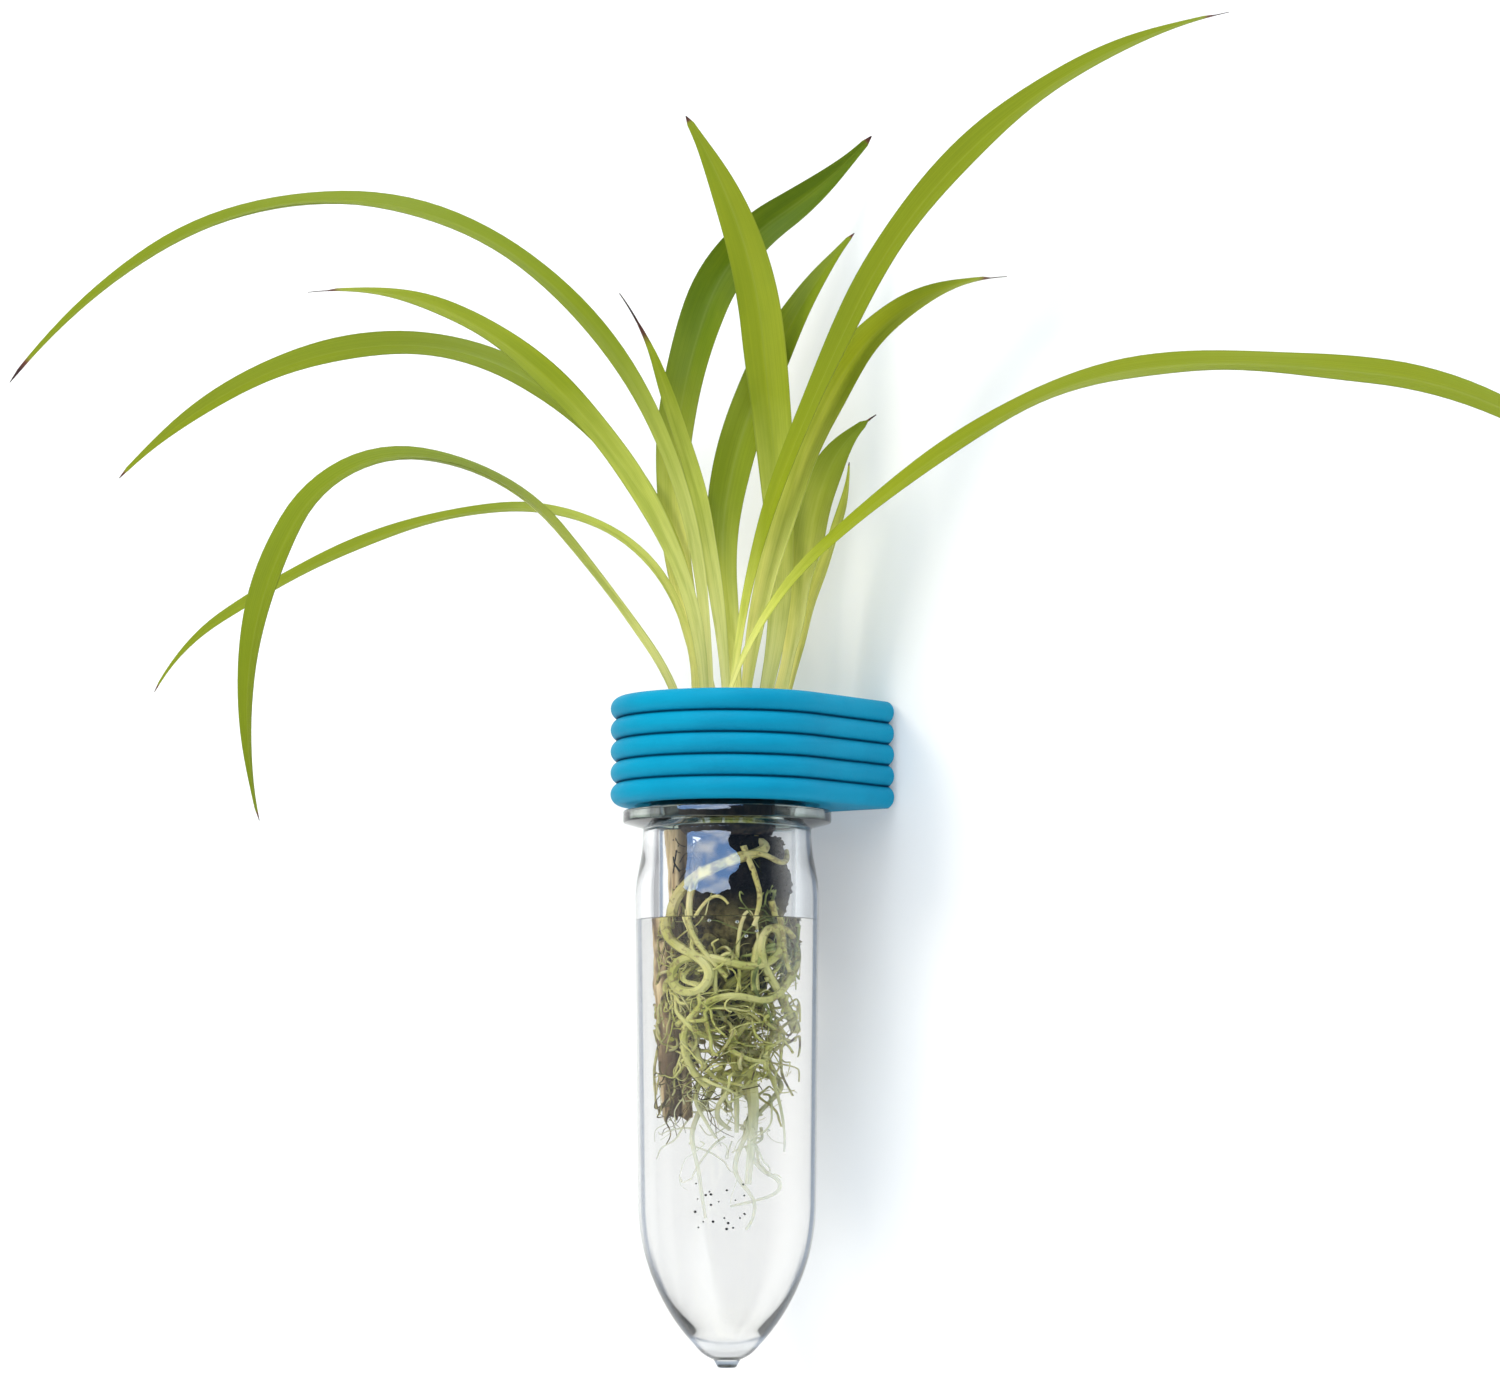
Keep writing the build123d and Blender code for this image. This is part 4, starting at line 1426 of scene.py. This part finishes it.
# %% Root routes
WRAP_ONE = route(
    (3.0, 3.6, -13.9), (6.8, 5.0, -15.6), (4.6, 7.2, -17.2), (0.4, 8.4, -18.2), (-4.4, 7.6, -20.4),
    (-7.6, 5.0, -23.0), (-8.4, 4.2, -27.0), (-7.6, 5.2, -30.6), (-4.4, 7.4, -32.4), (-1.7, 8.3, -35.0),
    (-3.4, 7.8, -38.4), (-6.6, 5.8, -38.4), (-7.7, 4.6, -35.2), (-5.8, 6.4, -32.4), (-1.4, 8.4, -33.0),
    (3.2, 7.9, -34.8), (6.4, 5.8, -33.4), (7.6, 4.2, -30.0), (6.0, 6.2, -27.4), (4.2, 7.5, -30.2),
    (5.0, 6.9, -35.0), (7.8, 3.4, -40.0), (7.8, -2.4, -44.0),
)
WRAP_TWO = route(
    (-1.0, -4.8, -13.9), (-4.8, -6.6, -17.0), (-3.6, -8.2, -21.0), (2.0, -8.6, -25.0), (7.0, -5.4, -29.0),
    (8.6, 0.0, -33.4), (7.6, 4.4, -37.6), (5.4, 6.8, -40.2), (2.0, 8.2, -38.6), (-2.4, 8.1, -39.2),
    (-5.4, 6.4, -42.4), (-6.0, 5.6, -47.0), (-4.6, 5.4, -51.0), (-2.4, 5.8, -53.0),
)
CURLS = {
    "root_curl_1": curl_line(seen_at(1.0, 4.0, 0), 270, -31.5, -58.5, 1.8, 3, 0.4),
    "root_curl_2": curl_line(seen_at(5.0, 0.0, 0), 180, -31.5, -58.0, 1.8, 3, 1.9),
    "root_curl_3": curl_line(seen_at(1.0, -4.0, 0), 90, -31.5, -58.5, 1.8, 3, 3.3),
}
HAIRS = {
    "root_hair_1": route(
        (1.4, 0.6, -32.0), (0.6, 1.2, -40.0), (1.8, 0.4, -47.0), (2.4, 1.8, -53.0), (3.4, 1.6, -58.0),
        (1.4, 1.8, -62.5), (0.6, 2.0, -66.5), (2.8, 2.6, -69.0), (4.0, 2.2, -72.0), (2.4, 2.4, -74.6),
    ),
    "root_hair_2": route(
        (0.6, -0.6, -32.0), (1.4, -1.0, -41.0), (0.2, 0.0, -48.0), (-2.0, 1.0, -54.0), (-3.8, 1.6, -57.6),
        (-4.6, 2.0, -61.0), (-3.4, 2.2, -65.5), (-3.2, 1.8, -69.0), (-2.6, 1.6, -73.0),
    ),
}
FINE_ROOTS = [
    (route((1.4, 7.2, -33.0), (1.5, 7.8, -28.6), (2.6, 8.0, -25.0), (4.0, 7.5, -25.6), (4.2, 7.2, -30.6)), 0.3, 0.7),
    (route((-1.4, 7.4, -39.4), (-1.9, 7.9, -34.6), (-0.4, 8.3, -31.6), (1.7, 8.0, -32.8), (1.9, 7.6, -36.6),
           (1.0, 7.4, -39.6)), 0.34, 0.7),
    (route((4.6, 2.0, -49.0), (6.4, 2.2, -53.6), (7.3, 1.6, -58.4), (7.0, 1.4, -63.0)), 0.3, 0.4),
    (route((2.4, 1.4, -62.0), (3.6, 1.6, -66.0), (6.4, 1.2, -66.6), (6.8, 1.0, -69.6), (3.4, 1.6, -70.6),
           (0.4, 2.0, -71.4)), 0.36, 0.5),
    (route((-3.4, 3.0, -51.0), (-5.0, 3.4, -55.4), (-2.6, 4.0, -57.4), (-0.6, 4.2, -56.0)), 0.16, 0.6),
    (route((0.6, 4.0, -44.0), (1.0, 4.6, -50.0), (1.4, 4.2, -56.0), (1.2, 3.6, -60.0)), 0.55, 0.5),
    (route((-3.6, 7.6, -19.4), (-5.4, 7.4, -22.0), (-5.6, 7.4, -26.0), (-4.6, 7.8, -30.0), (-2.6, 8.2, -32.8),
           (0.0, 8.0, -36.0)), 0.55, 0.7),
    (route((0.6, 8.6, -17.8), (3.4, 8.2, -16.6), (6.2, 7.0, -17.4), (8.0, 5.2, -19.0), (9.2, 3.2, -18.2),
           (9.4, 0.6, -16.6)), 0.55, 0.7),
    (route((2.4, 8.0, -15.8), (3.4, 8.2, -19.0), (4.8, 7.8, -22.0), (4.9, 7.8, -24.8), (3.6, 8.2, -28.0)), 0.5, 0.6),
    (route((-4.6, 7.6, -26.6), (-3.2, 8.2, -23.8), (-1.4, 8.6, -22.2), (0.2, 8.6, -24.6)), 0.3, 0.7),
    (route((3.8, 7.0, -38.0), (3.4, 7.4, -32.0), (5.0, 7.0, -28.2), (7.4, 5.6, -27.4), (8.6, 3.6, -29.6)), 0.62, 0.7),
    (route((6.4, 6.4, -24.0), (7.6, 5.4, -27.6), (7.2, 5.8, -31.4), (8.2, 4.4, -35.0)), 0.5, 0.6),
    (route((2.6, 3.0, -50.0), (4.0, 3.4, -56.0), (3.0, 3.6, -62.0), (2.6, 3.0, -68.0)), 0.9, 0.5),
]


# %% [markdown]
# Root flesh is waxy and lets light in. It is cream near the soil, yellow-green in the water where light reaches it,
# and so young and clear towards the bottom that the wall shows through. Soil stains it brown, and a painted shade
# darkens the rim of each root where it turns away from the eye, above the clear bottom, to set it off from those
# behind it.


# %% Root flesh
def root_flesh(desk):
    place = desk.place()
    clouds = desk.grain(place, 170, 3)
    freckles = desk.grain(place, 1300, 3)
    height = desk.part(place, "Z")
    rim = desk.slant()
    cream = desk.mix(clouds.step(0.35, 0.65), srgb(230, 216, 160), srgb(200, 188, 110))
    green = desk.mix(clouds.step(0.35, 0.65), srgb(214, 208, 134), srgb(176, 176, 82))
    upper = desk.mix(height.step(-0.022, -0.036), cream, green)
    flesh = desk.mix(height.step(-0.05, -0.064), upper, srgb(236, 236, 214))
    stain = (freckles + clouds * 0.6 - 0.3).step(0.56, 0.68) * height.step(-0.06, -0.044)
    stained = desk.mix(stain * 0.6, flesh, srgb(118, 92, 50))
    # Painted shade: the rim of each root darkens where it turns away from the eye, above the clear bottom.
    colour = desk.mix(rim.step(0.25, 0.85) * height.step(-0.062, -0.05) * 0.6, stained, srgb(92, 88, 36))
    return desk.surface({
        "Base Color": colour,
        "Roughness": 0.35 + 0.2 * freckles,
        "Alpha": 1 - height.step(-0.05, -0.066) * 0.6,
        "Normal": desk.bump(freckles, 0.25, 0.0003),
        "Subsurface Weight": 0.2,
        "Subsurface Radius": (1.0, 0.8, 0.4),
        "Subsurface Scale": 0.0005,
    })


root_pale = paint("root_pale", root_flesh)

# Each thick root: its piece and CAD node, then its points, its radius and the share of it left at the tip
THICK_ROOTS = [
    ("root_winding_1", "root_wrap_1", (WRAP_ONE, 0.85, 0.75)),
    ("root_winding_2", "root_wrap_2", (WRAP_TWO, 0.75, 0.65)),
]
THICK_ROOTS += [(f"{node}_fleshy", node, (line, 0.62, 0.5)) for node, line in CURLS.items()]
THICK_ROOTS += [(f"{node}_hanging", node, (line, 0.5, 0.4)) for node, line in HAIRS.items()]
for name, node, root in THICK_ROOTS:
    keep(name, root_mesh(name, [root]), root_pale, "plant", "root_pale", node)
keep("roots_fine", root_mesh("fine", FINE_ROOTS, 0.05), root_pale, "plant", "root_pale")

# %% [markdown]
# The middle of the root ball is a tangle of threads: brown with soil inside and on the stem, pale and clean in
# front, green with algae beside the soil, faint at the bottom, and dark fibres cling to the stem's two ends.
# Each thread wanders from a seeded start, turns a little at every step and is held inside the tube. Shorter root
# hairs stand on the curling roots: one bent hair, set by Geometry Nodes on scattered points with a fixed seed and
# turned every way.

# %% Thread tangles
TANGLE_REACH = 8.6


def wandering_thread(chance, middle, half):
    """Points of one thread that starts in a box, given as the photograph shows it, and wanders."""
    spot = Vector([centre + chance.uniform(-size, size) for centre, size in zip(middle, half)])
    way = Vector([chance.gauss(0, 1) for _ in range(3)]).normalized()
    points = []
    for _ in range(chance.randint(6, 11)):
        level = math.hypot(spot.x, spot.y)
        if level > TANGLE_REACH:
            spot.x, spot.y = spot.x * TANGLE_REACH / level, spot.y * TANGLE_REACH / level
        points.append(seen_at(*spot))
        way = (way + Vector([chance.gauss(0, 0.55) for _ in range(3)]) - UP * 0.1).normalized()
        spot = spot + way * chance.uniform(1.0, 1.9)
    return points


def tangle(seed, count, middle, half, thinnest, thickest):
    """Mesh of many wandering threads, most of them thin."""
    chance = random.Random(seed)
    span = thickest - thinnest
    lines = [(wandering_thread(chance, middle, half), thinnest + span * chance.random() ** 2, 0.5)
             for _ in range(count)]
    return root_mesh("tangle", lines, 0.1, 4)


def soiled_root(desk):
    place = desk.place()
    clouds = desk.grain(place, 420, 3)
    clean = desk.mix(clouds.step(0.3, 0.6), srgb(206, 200, 140), srgb(160, 154, 84))
    colour = desk.mix(clouds.step(0.56, 0.68), clean, srgb(80, 62, 38))
    return desk.surface({"Base Color": colour, "Roughness": 0.45 + 0.2 * clouds, "Subsurface Weight": 0.1,
                         "Subsurface Scale": 0.0004})


def mossy_root(desk):
    clouds = desk.grain(desk.place(), 420, 3)
    colour = desk.mix(clouds.step(0.35, 0.65), srgb(164, 172, 96), srgb(96, 104, 48))
    return desk.surface({"Base Color": colour, "Roughness": 0.5 + 0.2 * clouds})


soiled = paint("root_soiled", soiled_root)
mossy = paint("root_mossy", mossy_root)
# Each tangle: seed, count, middle and half size of its box, thinnest and thickest thread, finish and slot
TANGLES = {
    "roots_soiled": (11, 130, (0.8, 0.0, -39), (5.4, 5.4, 10), 0.09, 0.42, soiled, "root_pale"),
    "roots_clean": (23, 90, (1.0, 4.4, -43), (5.0, 2.6, 9), 0.1, 0.5, root_pale, "root_pale"),
    "roots_mossy": (31, 70, (7.0, 3.6, -27), (1.4, 2.6, 7), 0.1, 0.4, mossy, "root_pale"),
    "roots_on_stem": (47, 80, (-6.4, 1.8, -38), (1.8, 2.2, 13), 0.07, 0.3, soiled, "root_pale"),
    "fibres_high": (71, 26, (-7.4, 3.0, -23), (1.6, 2.4, 8), 0.06, 0.2, soil_dark, "soil_dark"),
    "fibres_low": (73, 30, (-5.4, 2.6, -53), (2.2, 2.0, 3), 0.06, 0.2, soil_dark, "soil_dark"),
    "roots_faint": (61, 26, (0.0, 1.0, -57), (4.6, 4.0, 5), 0.08, 0.22, root_pale, "root_pale"),
    "roots_before_stem": (53, 48, (-5.0, 4.2, -41), (2.8, 2.4, 9), 0.1, 0.5, root_pale, "root_pale"),
}
for name, (*sizes, finish, slot) in TANGLES.items():
    keep(name, tangle(*sizes), finish, "plant", slot)


# %% Root hairs
def hair_rule(desk, entry):
    points = scattered(desk, entry, "Hairs per square metre")
    reach = entry.other("Hair length")
    bend = desk.node("ShaderNodeCombineXYZ", {}, {"X": reach * 0.35, "Z": reach * 0.5})
    end = desk.node("ShaderNodeCombineXYZ", {}, {"Y": reach * 0.4, "Z": reach})
    sockets = {"Resolution": 5, "Start": (0, 0, 0), "Middle": bend, "End": end}
    line = desk.node("GeometryNodeCurveQuadraticBezier", {}, sockets)
    ring = desk.node("GeometryNodeCurvePrimitiveCircle", {}, {"Resolution": 4, "Radius": entry.other("Hair radius")})
    hair = desk.node("GeometryNodeCurveToMesh", {}, {"Curve": line, "Profile Curve": ring, "Fill Caps": True})
    turn = any_turn(desk)
    size = desk.node("FunctionNodeRandomValue", {"data_type": "FLOAT"}, {2: 0.4, 3: 1.0}, 1)
    sockets = {"Points": points, "Instance": hair, "Rotation": turn, "Scale": size}
    return desk.node("GeometryNodeInstanceOnPoints", {}, sockets)


hair_sizes = {"Hairs per square metre": 700000.0, "Hair length": 2.6 * MM, "Hair radius": 0.05 * MM, "Seed": 9}
hair_start = root_mesh("hair_start", [(line, 0.62, 0.5) for line in CURLS.values()])
root_hairs = grown("root_hairs", hair_start, hair_sizes, hair_rule, soiled)
keep("roots_hair", root_hairs, soiled, "plant", "root_pale", crease=60)

# %% [markdown]
# ## Bubbles and specks
# A few bubbles cling under the water line and grains of soil have sunk towards the bottom. Both are small balls
# on a handful of points, so a Geometry Nodes tree sets one ball on each point of a small mesh of bare points.


# %% Bubbles and specks
def ball_rule(desk, entry):
    sockets = {"Radius": entry.other("Ball radius"), "Subdivisions": 2}
    ball = desk.node("GeometryNodeMeshIcoSphere", {}, sockets)
    sockets = {2: 0.5, 3: 1.0, "Seed": entry.other("Seed")}
    size = desk.node("FunctionNodeRandomValue", {"data_type": "FLOAT"}, sockets, 1)
    points = desk.node("GeometryNodeMeshToPoints", {}, {"Mesh": entry})
    return desk.node("GeometryNodeInstanceOnPoints", {}, {"Points": points, "Instance": ball, "Scale": size})


def air_bubble(desk):
    film = desk.node("ShaderNodeLayerWeight", {}, {"Blend": 0.4}, "Facing")
    return desk.surface({"Base Color": srgb(245, 248, 250), "Metallic": 0.9, "Roughness": 0.05 + 0.05 * film})


def sunk_soil(desk):
    grains = desk.grain(desk.place(), 1500, 2)
    return desk.surface({
        "Base Color": desk.mix(grains, srgb(8, 7, 7), srgb(32, 26, 22)),
        "Roughness": 0.6 + 0.3 * grains,
    })


def ball_mesh(name, spots, radius, seed, material):
    """Balls of about one radius on spots that are given as the photograph shows them."""
    start = bpy.data.meshes.new(name)
    start.from_pydata([tuple(seen_at(*spot) * MM) for spot in spots], [], [])
    return grown(name, start, {"Ball radius": radius * MM, "Seed": seed}, ball_rule, material)


BUBBLES = [(1.4, 8.6, -27.4), (7.2, 5.2, -28.0), (2.6, 8.2, -29.6), (-2.4, 8.6, -27.2), (4.0, 7.6, -28.8)]
BUBBLE_RADIUS = 0.34
SPECK_RADIUS = 0.2
SPECK_COUNT = 22
SPECK_BOX = ((-4, 2.4), (1, 4.5), (-74.5, -67.5))
speck_chance = random.Random(5)
specks = [[speck_chance.uniform(*span) for span in SPECK_BOX] for _ in range(SPECK_COUNT)]
silver = paint("bubble_air", air_bubble)
keep("bubbles", ball_mesh("bubbles", BUBBLES, BUBBLE_RADIUS, 3, silver), silver, "tube", "water", crease=80)
sunk = paint("soil_sunk", sunk_soil)
keep("soil_specks", ball_mesh("specks", specks, SPECK_RADIUS, 6, sunk), sunk, "tube", "soil_dark", crease=80)
